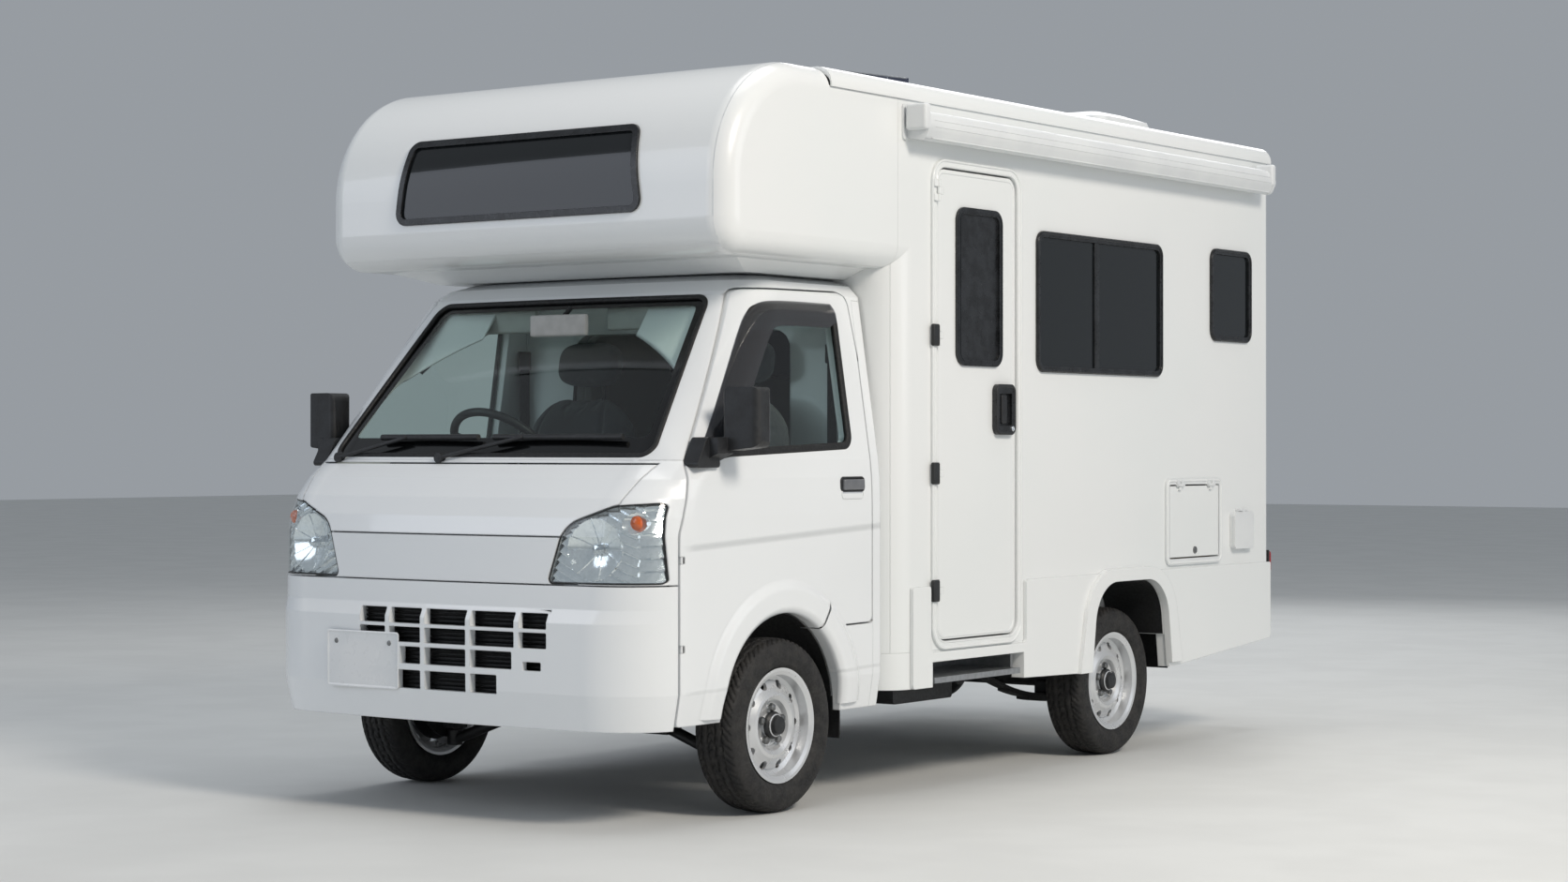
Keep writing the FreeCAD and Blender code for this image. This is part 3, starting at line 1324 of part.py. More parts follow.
def makeInletLid():
    half = shellHalfWidth
    lid = prism("YZ", sideOutline(inletFrame, 14, 2), half + inletDepth + seatGap, half + inletDepth + 9)
    return fused([lid, inletHinge()[1]])


awningFrontY = yFrontAxle + 585.0
awningRearY = yFrontAxle + 2905.0
awningLow = 1986.0
awningHigh = 2082.0
awningDepth = 88.0


def makeAwning():
    half = shellHalfWidth + seatGap
    corners = [(half, awningLow + 12, 0), (half, awningHigh, 0), (half + awningDepth - 18, awningHigh - 4, 24),
               (half + awningDepth, awningHigh - 50, 40), (half + awningDepth - 22, awningLow, 22)]
    case = prism("XZ", corners, awningFrontY, awningRearY)
    caps = []
    for y in (awningFrontY - 14, awningRearY - 6):
        caps.append(prism("XZ", [(u + (3 if u > half else 0), v, radius) for u, v, radius in corners], y, y + 20))
    plate = prism("YZ", [(awningFrontY - 34, awningLow + 8, 10), (awningFrontY - 10, awningLow + 2, 10),
                         (awningFrontY - 10, awningHigh + 18, 10), (awningFrontY - 34, awningHigh + 18, 10)],
                  half, half + 6)
    return fused([case] + caps + [plate])


def makeSkirts():
    # outer lower mouldings, each one plate that follows the door frame, the arch and the tail
    half = shellHalfWidth + seatGap
    low = skirtBottomHeight
    tail = shellRearY - 12
    skirts = []
    for side in (-1, 1):
        corners = [
            (shellFrontY + 95, low + 18, 12), (entryFrameFrontY - 6, low + 18, 0),
            (entryFrameFrontY - 6, low + 95, 0), (entryFrameRearY + 6, low + 95, 0),
            (entryFrameRearY + 6, low + 12, 0),
            (yRearAxle + 300, low - 14, 0), (tail, low + 47, 12), (tail, skirtTopHeight, 10),
            (entryFrameRearY + 22, skirtTopHeight, 10), (entryFrameRearY + 22, low + 125, 15),
            (entryFrameFrontY - 14, low + 125, 15), (entryFrameFrontY - 14, skirtTopHeight, 10),
            (shellFrontY + 95, skirtTopHeight, 10)]
        plate = prism("YZ", corners, half, half + skirtProud)
        flare = prism("YZ", rearArchOutline(flareWidth, low - 40), half, half + flareProud + skirtProud)
        flare = flare.common(box(0, 2000, yRearAxle - 900, yRearAxle + 900, low + 2, 2000))
        body = plate.fuse(flare)
        body = body.cut(prism("YZ", rearArchOutline(), half - 50, half + 200))
        # the lower lip turns in under the shell
        lip = prism("YZ", [(entryFrameRearY + 6, low + 12, 0), (yRearAxle + 300, low - 14, 0),
                           (tail, low + 47, 12), (tail, shellFloorHeight - seatGap, 0),
                           (entryFrameRearY + 6, shellFloorHeight - seatGap, 0)], half - 35, half + 1)
        lip = lip.cut(prism("YZ", rearArchOutline(4), half - 50, half + 200))
        body = fused([body, lip])
        skirts.append(biggest(body) if side > 0 else mirrored(biggest(body)))
    return skirts


def makeStep():
    half = shellHalfWidth
    y0 = entryFrameFrontY + 12
    y1 = entryFrameRearY - 12
    tread = box(half - 250, half + 8, y0, y1, 328, 346)
    frame = box(half - 250, half - 228, y0, y1, 345, shellFloorHeight - seatGap)
    ends = [box(half - 250, half - 20, y, y + 14, 345, shellFloorHeight - seatGap) for y in (y0, y1 - 14)]
    return fused([tread, frame] + ends)


def makeFurniture():
    # bench along the far side, cabinet behind the door, bunk board over the cab
    wall = shellWall + seatGap
    half = shellHalfWidth
    floor = shellFloorHeight + shellWall + seatGap
    bench = box(-half + wall, -220, shellFrontY + wall, yRearAxle - 352, floor, 820)
    cabinet = box(-half + wall, half - wall, yRearAxle + 352, shellRearY - wall, floor, 900)
    over = noseBottomHeight + wall
    bunk = box(-half + wall + 30, half - wall - 30, noseFrontY + noseLowerRadius + 10, shellFrontY + 220,
               over + seatGap, over + 90)
    return [bench, cabinet, bunk]


def makeRearBumper():
    half = shellHalfWidth
    y = shellRearY + seatGap
    end = yRearAxle + rearOverhang
    outline = [(-half, y, 0), (-half, end, 25), (half, end, 25), (half, y, 0)]
    bumper = prism("XY", outline, 345, 585)
    lower = box(-half + 60, half - 60, shellRearY - 60, y + 1, 345, shellFloorHeight - seatGap)
    bumper = fused([bumper, lower])
    for side in (-1, 1):
        x = side * plateBoltSpacing / 2
        bumper = bumper.cut(rod(V(x, shellRearY - 100, 515), V(x, end + 50, 515), plateBoltRadius))
    return bumper


def makeTailLamps():
    y = shellRearY + seatGap
    lamp = prism("XZ", rectangle(545, shellHalfWidth - 4, 590, 668, 10), y, y + 24)
    return [lamp, mirrored(lamp)]


mirrorOuterX = 876.0


def makeMirror():
    head = prism("XY", [(752, yFrontAxle - 330, 18), (mirrorOuterX, yFrontAxle - 318, 25),
                        (mirrorOuterX - 4, yFrontAxle - 252, 16), (756, yFrontAxle - 245, 16)], 1045, 1225)
    head = head.common(prism("XZ", [(752, 1045, 22), (mirrorOuterX, 1058, 30), (mirrorOuterX, 1225, 26),
                                    (756, 1225, 26)], yFrontAxle - 400, yFrontAxle - 200))
    # stalk and foot, standing on the door's skin at the window's front corner
    stalk = prism("XZ", [(690, 1002, 0), (775, 1040, 0), (775, 1085, 0), (690, 1075, 0)],
                  yFrontAxle - 372, yFrontAxle - 300)
    foot = prism("YZ", [(yFrontAxle - 430, 1000, 10), (yFrontAxle - 320, 1000, 10),
                        (yFrontAxle - 330, 1085, 15), (yFrontAxle - 380, 1085, 15)], 690, 744)
    return head.fuse([stalk, foot]).cut(cabLoft(-seatGap)).removeSplitter()


os.makedirs("parts", exist_ok=True)


def save(name, shape):
    if isinstance(shape, (list, tuple)):
        shape = Part.makeCompound(list(shape))
    shape.exportStep("parts/" + name + ".step")
    print(name, len(shape.Solids), round(shape.Volume / 1e9, 5), shape.isValid())


for name, panels in makeCabBody().items():
    save(name, panels)
leftDoor = makeDoor()
save("cab_door_left", leftDoor)
save("cab_door_right", mirrored(leftDoor))
leftGlass = makeDoorGlass()
save("door_glass_left", leftGlass)
save("door_glass_right", mirrored(leftGlass))
leftMirror = makeMirror()
save("mirror_left", leftMirror)
save("mirror_right", mirrored(leftMirror))
save("windscreen", makeWindscreen())
save("wipers", makeWipers())
save("front_bumper", makeBumper())
save("front_panels", makeFrontPanel())
lens = makeLampLens()
save("headlamp_lenses", [lens, mirrored(lens)])
housing = makeLampHousing()
save("headlamp_housings", [housing, mirrored(housing)])
save("dashboard", makeDashboard())
save("steering_wheel", makeSteeringWheel())
save("cab_seats", [makeSeat(-1), makeSeat(1)])
save("radiator", makeRadiator())
save("chassis_frame", makeChassis())
save("engine", makeEngine())
save("fuel_tank", makeFuelTank())
save("battery_box", makeBatteryBox())
save("exhaust", makeExhaust())
save("propeller_shaft", makePropellerShaft())
save("front_suspension", [makeFrontSuspension(), makeStrutSpring(-1), makeStrutSpring(1)])
save("rear_axle", makeRearAxle())
save("mudflaps", makeMudflaps())
for label, side in (("left", 1), ("right", -1)):
    save("knuckle_" + label, makeKnuckle(side))
    for end, y in (("front", yFrontAxle), ("rear", yRearAxle)):
        save("tyre_" + end + "_" + label, makeTyre(side, y))
        save("wheel_" + end + "_" + label, makeWheel(side, y))
for name, panels in makeShell().items():
    save(name, panels)
save("camper_roof", makeRoof())
save("roof_vent_lid", makeVentLid())
save("solar_panel", makeSolarPanel())
save("window_frames", makeWindowFrames())
save("window_panes", makeWindowPanes())
save("entry_door", makeEntryDoor())
save("entry_door_window", makeEntryWindow() + [makeEntryHandle()])
save("entry_step", makeStep())
save("hatch_frame", [makeHatchFrame(), makeInletBox()])
save("hatch_lid", makeHatchLid())
save("inlet_lid", makeInletLid())
save("awning", makeAwning())
save("skirts", makeSkirts())
save("furniture", makeFurniture())
save("rear_bumper", makeRearBumper())
save("tail_lamps", makeTailLamps())
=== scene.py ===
import math

import bpy
import numpy as np
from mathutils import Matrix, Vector


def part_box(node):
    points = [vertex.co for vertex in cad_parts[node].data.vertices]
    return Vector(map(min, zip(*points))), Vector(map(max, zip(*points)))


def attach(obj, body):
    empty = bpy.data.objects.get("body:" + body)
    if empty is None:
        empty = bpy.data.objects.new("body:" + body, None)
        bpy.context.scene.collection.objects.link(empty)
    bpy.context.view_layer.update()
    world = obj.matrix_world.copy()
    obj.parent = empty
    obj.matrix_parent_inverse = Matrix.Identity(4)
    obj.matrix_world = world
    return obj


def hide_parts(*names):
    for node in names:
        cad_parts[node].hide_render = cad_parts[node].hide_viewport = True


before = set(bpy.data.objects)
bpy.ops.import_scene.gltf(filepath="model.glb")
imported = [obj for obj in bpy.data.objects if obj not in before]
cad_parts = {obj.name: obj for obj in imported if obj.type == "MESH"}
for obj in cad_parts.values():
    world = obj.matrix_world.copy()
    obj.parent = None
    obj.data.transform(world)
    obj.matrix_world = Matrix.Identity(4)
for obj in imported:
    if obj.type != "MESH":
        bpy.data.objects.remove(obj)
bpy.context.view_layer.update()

# The row's frame: metres, Z up, the front faces -Y, +X is the vehicle's left, origin on the ground
# under the middle. The wheels' middles come from the boxes of their tyres.
tyreBox = np.array(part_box("tyre_front_left"))
tyreX, frontAxleY, axleZ = (float(middle) for middle in tyreBox.mean(axis=0))
tyreHalf = (tyreBox[1][0] - tyreBox[0][0]) / 2
rearAxleY = float(np.mean(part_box("tyre_rear_left"), axis=0)[1])
shellX = 0.775
shellRearY = 1.850


# Mesh making
def smoothstep(edge0, edge1, x):
    # 3 t^2 - 2 t^3 of the share t of the way from one edge to the other
    t = np.clip((x - edge0) / (edge1 - edge0), 0, 1)
    return t * t * (3 - 2 * t)


def gridFaces(rows, cols, wrapRows=False, wrapCols=False):
    # quads of a rows by cols grid of vertices, joined across its ends where it wraps
    r = np.arange(rows if wrapRows else rows - 1)
    c = np.arange(cols if wrapCols else cols - 1)
    r, c = np.meshgrid(r, c, indexing="ij")
    r1, c1 = (r + 1) % rows, (c + 1) % cols
    return np.stack([r * cols + c, r * cols + c1, r1 * cols + c1, r1 * cols + c], -1).reshape(-1, 4)


def facing(verts, faces, towards=None):
    # faces turned outwards: by the sign of the enclosed volume, or for an open sheet by its mean normal
    a, b, c = verts[faces[:, 0]], verts[faces[:, 1]], verts[faces[:, 2]]
    normals = np.cross(b - a, c - a)
    if faces.shape[1] == 4:
        normals = normals + np.cross(c - a, verts[faces[:, 3]] - a)
    if towards is None:
        sign = ((a - verts.mean(axis=0)) * normals).sum()
    else:
        sign = (normals @ np.asarray(towards, float)).sum()
    return faces if sign > 0 else faces[:, ::-1]


def mirrorX(verts, faces):
    # the mirror image across X = 0, its faces still turned outwards
    return verts * np.array([-1.0, 1.0, 1.0]), faces[:, ::-1]


def makeMesh(name, verts, faces, material, body="vehicle", angle=None, towards=None, smooth=True, slot=None):
    # one object from arrays of points and of quads, its edges sharp above an angle in degrees
    verts = np.asarray(verts, dtype=np.float64).reshape(-1, 3)
    faces = facing(verts, np.asarray(faces, dtype=np.int32), towards)
    mesh = bpy.data.meshes.new(name)
    mesh.vertices.add(len(verts))
    mesh.vertices.foreach_set("co", verts.ravel())
    mesh.loops.add(faces.size)
    mesh.loops.foreach_set("vertex_index", faces.ravel())
    mesh.polygons.add(len(faces))
    mesh.polygons.foreach_set("loop_start", np.arange(0, faces.size, faces.shape[1], dtype=np.int32))
    mesh.update(calc_edges=True)
    mesh.validate()
    mesh.polygons.foreach_set("use_smooth", np.full(len(mesh.polygons), smooth))
    mesh.materials.append(materials[material])
    if angle is not None:
        mesh.set_sharp_from_angle(angle=math.radians(angle))
    obj = bpy.data.objects.new(name, mesh)
    bpy.context.scene.collection.objects.link(obj)
    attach(obj, body)
    return obj


def makePair(name, verts, faces, material, body="vehicle", towards=None, **options):
    # the left piece and its mirror image; {side} in the names of piece and body is left or right
    made = []
    for label, side in (("left", 1), ("right", -1)):
        aim = towards and (side * towards[0], *towards[1:])
        made.append(makeMesh(name.format(side=label), verts, faces, material, body.format(side=label),
                             towards=aim, **options))
        verts, faces = mirrorX(verts, faces)
    return made


def onWheels(name, verts, faces, material, **options):
    # a piece drawn about the left wheels' middle, put on all four
    made = []
    for end, y in (("front", frontAxleY), ("rear", rearAxleY)):
        made += makePair(name.replace("{end}", end), verts + np.array([tyreX, y, axleZ]), faces, material,
                         "wheel_%s_{side}" % end, **options)
    return made


class Parts:
    # gathers several shapes of one material into one mesh
    def __init__(self):
        self.verts, self.faces, self.count = [], [], 0

    def add(self, verts, faces, towards=None):
        verts = np.asarray(verts, dtype=np.float64).reshape(-1, 3)
        faces = facing(verts, np.asarray(faces, dtype=np.int64), towards)
        self.verts.append(verts)
        self.faces.append(faces + self.count)
        self.count += len(verts)

    def addPair(self, verts, faces, towards=None):
        # the shape and its mirror image
        self.add(verts, faces, towards)
        self.add(*mirrorX(verts, faces), towards)

    def shape(self):
        return np.concatenate(self.verts), np.concatenate(self.faces)

    def build(self, name, material, body="vehicle", **options):
        return makeMesh(name, *self.shape(), material, body, **options)


def roundedOutline(corners, step=0.004):
    # points round a closed outline of (u, v, radius) corners, each corner an arc
    points = []
    count = len(corners)
    for i, (u, v, radius) in enumerate(corners):
        corner = np.array([u, v])
        before = np.array(corners[i - 1][:2]) - corner
        after = np.array(corners[(i + 1) % count][:2]) - corner
        before, after = before / np.linalg.norm(before), after / np.linalg.norm(after)
        half = math.acos(np.clip(before @ after, -1, 1)) / 2
        if radius <= 0:
            points.append(corner[None])
            continue
        middle = corner + (before + after) / np.linalg.norm(before + after) * (radius / math.sin(half))
        start = corner + before * radius / math.tan(half) - middle
        end = corner + after * radius / math.tan(half) - middle
        a0 = math.atan2(start[1], start[0])
        turn = (math.atan2(end[1], end[0]) - a0 + math.pi) % (2 * math.pi) - math.pi
        steps = max(3, int(abs(turn) * radius / step) + 1)
        angles = a0 + turn * np.linspace(0, 1, steps)
        points.append(middle + radius * np.stack([np.cos(angles), np.sin(angles)], -1))
    points = np.concatenate(points)
    # straight stretches are divided too, so that the strip can follow a curved surface
    nexts = np.roll(points, -1, axis=0)
    pieces = []
    for p, q in zip(points, nexts):
        n = max(1, int(np.linalg.norm(q - p) / (step * 6)))
        pieces.append(p + (q - p) * (np.arange(n) / n)[:, None])
    return np.concatenate(pieces)


def grownOutline(corners, by):
    # the outline with each side moved outwards, for convex outlines
    count = len(corners)
    pts = np.array([c[:2] for c in corners])
    area = sum(pts[i - 1][0] * pts[i][1] - pts[i][0] * pts[i - 1][1] for i in range(count))
    turn = 1.0 if area > 0 else -1.0
    grown = []
    for i in range(count):
        back = pts[i] - pts[i - 1]
        on = pts[(i + 1) % count] - pts[i]
        back, on = back / np.linalg.norm(back), on / np.linalg.norm(on)
        n1, n2 = turn * np.array([back[1], -back[0]]), turn * np.array([on[1], -on[0]])
        moved = pts[i] + (n1 + n2) * by / (1 + n1 @ n2)
        grown.append((moved[0], moved[1], max(corners[i][2] + by, 0.001) if corners[i][2] > 0 else 0))
    return grown


def rectangle(u0, u1, v0, v1, radius):
    # the four rounded corners of a rectangle
    return [(u0, v0, radius), (u1, v0, radius), (u1, v1, radius), (u0, v1, radius)]


def sweep(path, normals, profile, closedPath=True):
    # a profile of (across, out) points carried along a path that lies on a surface with these normals
    nexts, lasts = np.roll(path, -1, axis=0), np.roll(path, 1, axis=0)
    if not closedPath:
        nexts[-1], lasts[0] = path[-1], path[0]
    along = nexts - lasts
    along /= np.linalg.norm(along, axis=1, keepdims=True)
    side = np.cross(along, normals)
    side /= np.linalg.norm(side, axis=1, keepdims=True)
    profile = np.asarray(profile)
    verts = (path[:, None] + side[:, None] * profile[None, :, :1] + normals[:, None] * profile[None, :, 1:])
    return verts.reshape(-1, 3), gridFaces(len(path), len(profile), closedPath, True)


def bead(width, height, sink=0.002, count=10):
    # a half-round bead of a given width and height, its foot a little under the surface
    t = np.linspace(0, math.pi, count)
    top = np.stack([-np.cos(t) * width / 2, np.sin(t) ** 0.8 * height], -1)
    foot = np.array([[width / 2, -sink], [-width / 2, -sink]])
    return np.concatenate([top, foot])


def band(width, height, edge=0.0015, sink=0.002):
    # a flat strip with softened edges
    w = width / 2
    return np.array([[-w, -sink], [-w, height - edge], [-w + edge, height], [w - edge, height],
                     [w, height - edge], [w, -sink]])


def turnedShape(profile, count=64):
    # a closed profile of (along, radius) points turned about the X axis
    profile = np.asarray(profile)
    t = np.linspace(0, 2 * math.pi, count, endpoint=False)
    x = np.broadcast_to(profile[:, 0], (count, len(profile)))
    y = np.sin(t)[:, None] * profile[:, 1]
    z = np.cos(t)[:, None] * profile[:, 1]
    return np.stack([x, y, z], -1).reshape(-1, 3), gridFaces(count, len(profile), True, True)


def tube(points, radius, count=10):
    # a round bar along straight or bent points, with flat ends
    points = np.asarray(points, dtype=float)
    along = np.gradient(points, axis=0)
    along /= np.linalg.norm(along, axis=1, keepdims=True)
    guide = np.array([0.0, 0.0, 1.0]) if abs(along[0][2]) < 0.9 else np.array([1.0, 0.0, 0.0])
    side = np.cross(along, guide)
    side /= np.linalg.norm(side, axis=1, keepdims=True)
    up = np.cross(side, along)
    t = np.linspace(0, 2 * math.pi, count, endpoint=False)
    rings = points[:, None] + radius * (np.cos(t)[:, None] * side[:, None] + np.sin(t)[:, None] * up[:, None])
    rings = np.concatenate([np.repeat(points[:1, None], count, 1), rings, np.repeat(points[-1:, None], count, 1)])
    return rings.reshape(-1, 3), gridFaces(len(rings), count, False, True)


def softBlock(low, high, radius, steps=4):
    # a box whose corners and edges are rounded: a cube grid pulled out from its inner box
    low, high = np.asarray(low, float), np.asarray(high, float)
    radius = min(radius, *((high - low) / 2 - 1e-5))
    middle, inner = (low + high) / 2, (high - low) / 2 - radius
    bend = np.tan(np.linspace(0, math.pi / 4, steps))
    lean = np.concatenate([-bend[::-1], bend])
    ends = np.concatenate([-np.ones(steps), np.ones(steps)])
    u, v = np.meshgrid(lean, lean, indexing="ij")
    endU, endV = np.meshgrid(ends, ends, indexing="ij")
    faces, verts = [], []
    quads = gridFaces(steps * 2, steps * 2)
    for axis in range(3):
        for sign in (-1, 1):
            lean3, end3 = np.zeros(u.shape + (3,)), np.zeros(u.shape + (3,))
            lean3[..., axis] = end3[..., axis] = sign
            lean3[..., (axis + 1) % 3], end3[..., (axis + 1) % 3] = u, endU
            lean3[..., (axis + 2) % 3], end3[..., (axis + 2) % 3] = v * sign, endV * sign
            lean3 /= np.linalg.norm(lean3, axis=-1, keepdims=True)
            faces.append(quads + len(verts) * u.size)
            verts.append((middle + end3 * inner + lean3 * radius).reshape(-1, 3))
    return np.concatenate(verts), np.concatenate(faces)


# The cab's outer face, from the same level sections as the solids:
# height, nose ahead of the front axle, half width, corner radius, bow of the front, in metres
cabSections = np.array([
    (0.275, 0.668, 0.7215, 0.200, 0.020),
    (0.375, 0.688, 0.7375, 0.215, 0.020),
    (0.572, 0.690, 0.7375, 0.215, 0.020),
    (0.610, 0.674, 0.7375, 0.197, 0.022),
    (0.811, 0.668, 0.7375, 0.189, 0.024),
    (0.862, 0.656, 0.7375, 0.188, 0.025),
    (0.915, 0.627, 0.7365, 0.185, 0.026),
    (0.968, 0.580, 0.7345, 0.180, 0.028),
    (1.020, 0.515, 0.7295, 0.180, 0.030),
    (1.512, 0.092, 0.655, 0.140, 0.026),
    (1.546, 0.045, 0.622, 0.130, 0.024),
    (1.565, -0.015, 0.560, 0.110, 0.020)])


def cabSection(z):
    # the four measures at a height, between the two nearest sections
    return [np.interp(z, cabSections[:, 0], cabSections[:, k]) for k in range(1, 5)]


def cabFront(x, z, out=0.0):
    # the point of the cab's front at X and Z, moved out along -Y
    ahead, half, corner, bow = cabSection(z)
    inner = half - corner
    nose = frontAxleY - ahead
    bowRadius = (inner ** 2 + bow ** 2) / (2 * bow)
    a = np.abs(x)
    middle = nose + bowRadius - np.sqrt(np.maximum(bowRadius ** 2 - a ** 2, 0))
    edge = nose + bow + corner - np.sqrt(np.maximum(corner ** 2 - (a - inner) ** 2, 0))
    return np.stack([x, np.where(a < inner, middle, edge) - out, z], -1)


def cabSide(y, z, out=0.0):
    # the point of the cab's left side at Y and Z, moved out along +X
    ahead, half, corner, bow = cabSection(z)
    tangent = frontAxleY - ahead + bow + corner
    x = half - corner + np.sqrt(np.maximum(corner ** 2 - np.minimum(y - tangent, 0) ** 2, 0))
    return np.stack([x + out, y, z], -1)


def surfaceNormals(surface, u, v, outwards):
    # normals of a surface from small steps, turned towards a given direction
    h = 1e-4
    n = np.cross(surface(u + h, v) - surface(u - h, v), surface(u, v + h) - surface(u, v - h))
    n /= np.linalg.norm(n, axis=1, keepdims=True)
    return n * np.sign(n @ np.asarray(outwards, float))[:, None]


def outlineOn(surface, corners, outwards, out=0.0, step=0.004):
    # an outline's points on a surface and the normals there
    uv = roundedOutline(corners, step)
    normals = surfaceNormals(surface, uv[:, 0], uv[:, 1], outwards)
    return surface(uv[:, 0], uv[:, 1]) + normals * out, normals


# Materials, kept by name
materials = {}


def linear(code):
    # a display colour code as linear light
    rgb = np.array([int(code[i:i + 2], 16) for i in (1, 3, 5)]) / 255
    return tuple(np.where(rgb <= 0.04045, rgb / 12.92, ((rgb + 0.055) / 1.055) ** 2.4)) + (1.0,)


def addNode(tree, kind, inputs=None, **settings):
    # a shader node with its settings, each input a value or another node's socket
    node = tree.nodes.new("ShaderNode" + kind)
    for name, value in settings.items():
        setattr(node, name, value)
    for name, value in (inputs or {}).items():
        if isinstance(value, bpy.types.NodeSocket):
            tree.links.new(value, node.inputs[name])
        else:
            node.inputs[name].default_value = value
    return node


def calc(tree, operation, a, b=0.0, c=0.0):
    # one step of arithmetic on sockets or numbers
    return addNode(tree, "Math", {0: a, 1: b, 2: c}, operation=operation).outputs[0]


def ramp(tree, value, low, high, outLow=0.0, outHigh=1.0):
    # a soft step from one output to the other between two values
    return addNode(tree, "MapRange", {"Value": value, "From Min": low, "From Max": high, "To Min": outLow,
                                      "To Max": outHigh}, interpolation_type="SMOOTHSTEP").outputs["Result"]


def noise(tree, coords, period, detail=2.0):
    # noise whose grains are about this many metres across
    return addNode(tree, "TexNoise", {"Vector": coords, "Scale": 1.0 / period, "Detail": detail}).outputs["Fac"]


def startMaterial(name, colour, roughness, metallic=0.0, coat=0.0):
    # a new material with its tree, main shader and the object's own coordinates
    materials[name] = bpy.data.materials.new(name)
    materials[name].use_nodes = True
    tree = materials[name].node_tree
    shader = tree.nodes["Principled BSDF"]
    for socket, value in (("Base Color", linear(colour)), ("Roughness", roughness), ("Metallic", metallic),
                          ("Coat Weight", coat), ("Coat Roughness", 0.04)):
        shader.inputs[socket].default_value = value
    return tree, shader, addNode(tree, "TexCoord").outputs["Object"]


def blendColours(tree, shader, share, low, high):
    # the base colour goes from one to the other with the share
    mix = addNode(tree, "Mix", data_type="RGBA")
    # the colour sockets of a Mix node come after its number and vector ones
    mix.inputs[6].default_value, mix.inputs[7].default_value = linear(low), linear(high)
    tree.links.new(share, mix.inputs[0])
    tree.links.new(mix.outputs[2], shader.inputs["Base Color"])


def finishSurface(tree, shader, coords, colours, tone, roughSpan, bumps, soften=0.0):
    # colours blended by a broad noise, roughness by a finer one, and a stack of bumps;
    # bumps are (height socket, depth in metres), soften rounds hard edges by that radius
    blendColours(tree, shader, ramp(tree, noise(tree, coords, tone), 0.35, 0.65), *colours)
    if roughSpan:
        fine = noise(tree, coords, tone / 4, 4.0)
        tree.links.new(ramp(tree, fine, 0.3, 0.7, *roughSpan), shader.inputs["Roughness"])
    normal = addNode(tree, "Bevel", {"Radius": soften}, samples=4).outputs["Normal"] if soften else None
    for height, depth in bumps:
        inputs = {"Height": height, "Distance": depth, "Strength": 1.0}
        if normal is not None:
            inputs["Normal"] = normal
        normal = addNode(tree, "Bump", inputs).outputs["Normal"]
    if normal is not None:
        tree.links.new(normal, shader.inputs["Normal"])


def plainMaterial(name, colour, other, roughness, tone, metallic=0.0, coat=0.0, grain=None, soften=0.0):
    # a material with slight colour and gloss variation and, if wanted, a fine grain: (period, depth)
    tree, shader, coords = startMaterial(name, colour, roughness, metallic, coat)
    bumps = [(noise(tree, coords, grain[0], 3.0), grain[1])] if grain else []
    finishSurface(tree, shader, coords, (colour, other), tone, (roughness * 0.85, roughness * 1.2), bumps, soften)


def separated(tree, coords):
    # X, Y and Z of the coordinates
    xyz = addNode(tree, "SeparateXYZ", {"Vector": coords})
    return xyz.outputs["X"], xyz.outputs["Y"], xyz.outputs["Z"]


def lineStep(tree, y, z, start, end, width):
    # 0 below and 1 above a straight line through two (Y, Z) points, over a soft width
    slope = (end[1] - start[1]) / (end[0] - start[0])
    height = calc(tree, "SUBTRACT", z, calc(tree, "MULTIPLY_ADD", y, slope, start[1] - slope * start[0]))
    return ramp(tree, height, -width / 2, width / 2)


# White cab paint: clear-coated, with the pressed lines of the doors as soft steps
cabPaintValues = {"colour": "#e8ebed", "other": "#e6e9eb", "roughness": 0.26, "roughSpan": (0.25, 0.27), "tone": 0.6,
                  "soften": 0.006, "lineDepth": 0.0095, "lineWidth": 0.026, "lowerDepth": 0.003, "lowerWidth": 0.014,
                  "sideFrom": (-0.50, -0.42), "peel": 0.004, "peelDepth": 0.000006}
doorLine = ((frontAxleY - 0.434, 0.778), (frontAxleY + 0.444, 0.818))
lowerLine = ((frontAxleY - 0.5, 0.375), (frontAxleY - 0.3, 0.380))


def makeCabPaint():
    # bumps: the two lines on the sides, and a fine orange peel all over
    v = cabPaintValues
    tree, shader, coords = startMaterial("white_cab_paint", v["colour"], v["roughness"], 0.0, 0.6)
    x, y, z = separated(tree, coords)
    upper = lineStep(tree, y, z, *doorLine, v["lineWidth"])
    sides = ramp(tree, y, *(frontAxleY + q for q in v["sideFrom"]))
    lower = lineStep(tree, y, z, *lowerLine, v["lowerWidth"])
    bumps = [(calc(tree, "MULTIPLY", upper, sides), v["lineDepth"]),
             (calc(tree, "MULTIPLY", lower, sides), v["lowerDepth"]),
             (noise(tree, coords, v["peel"], 1.0), v["peelDepth"])]
    finishSurface(tree, shader, coords, (v["colour"], v["other"]), v["tone"], v["roughSpan"], bumps, v["soften"])


# White moulded shell: glossy gel coat over fibreglass
shellValues = {"colour": "#e9ebeb", "other": "#e7eaea", "roughness": 0.27, "tone": 0.8, "soften": 0.004,
               "peel": 0.003, "peelDepth": 0.000003}


def makeShellWhite():
    # two close whites and a fine peel, its gloss the same all over
    v = shellValues
    tree, shader, coords = startMaterial("white_gel_coat", v["colour"], v["roughness"], 0.0, 0.5)
    bumps = [(noise(tree, coords, v["peel"], 1.0), v["peelDepth"])]
    finishSurface(tree, shader, coords, (v["colour"], v["other"]), v["tone"], None, bumps, v["soften"])


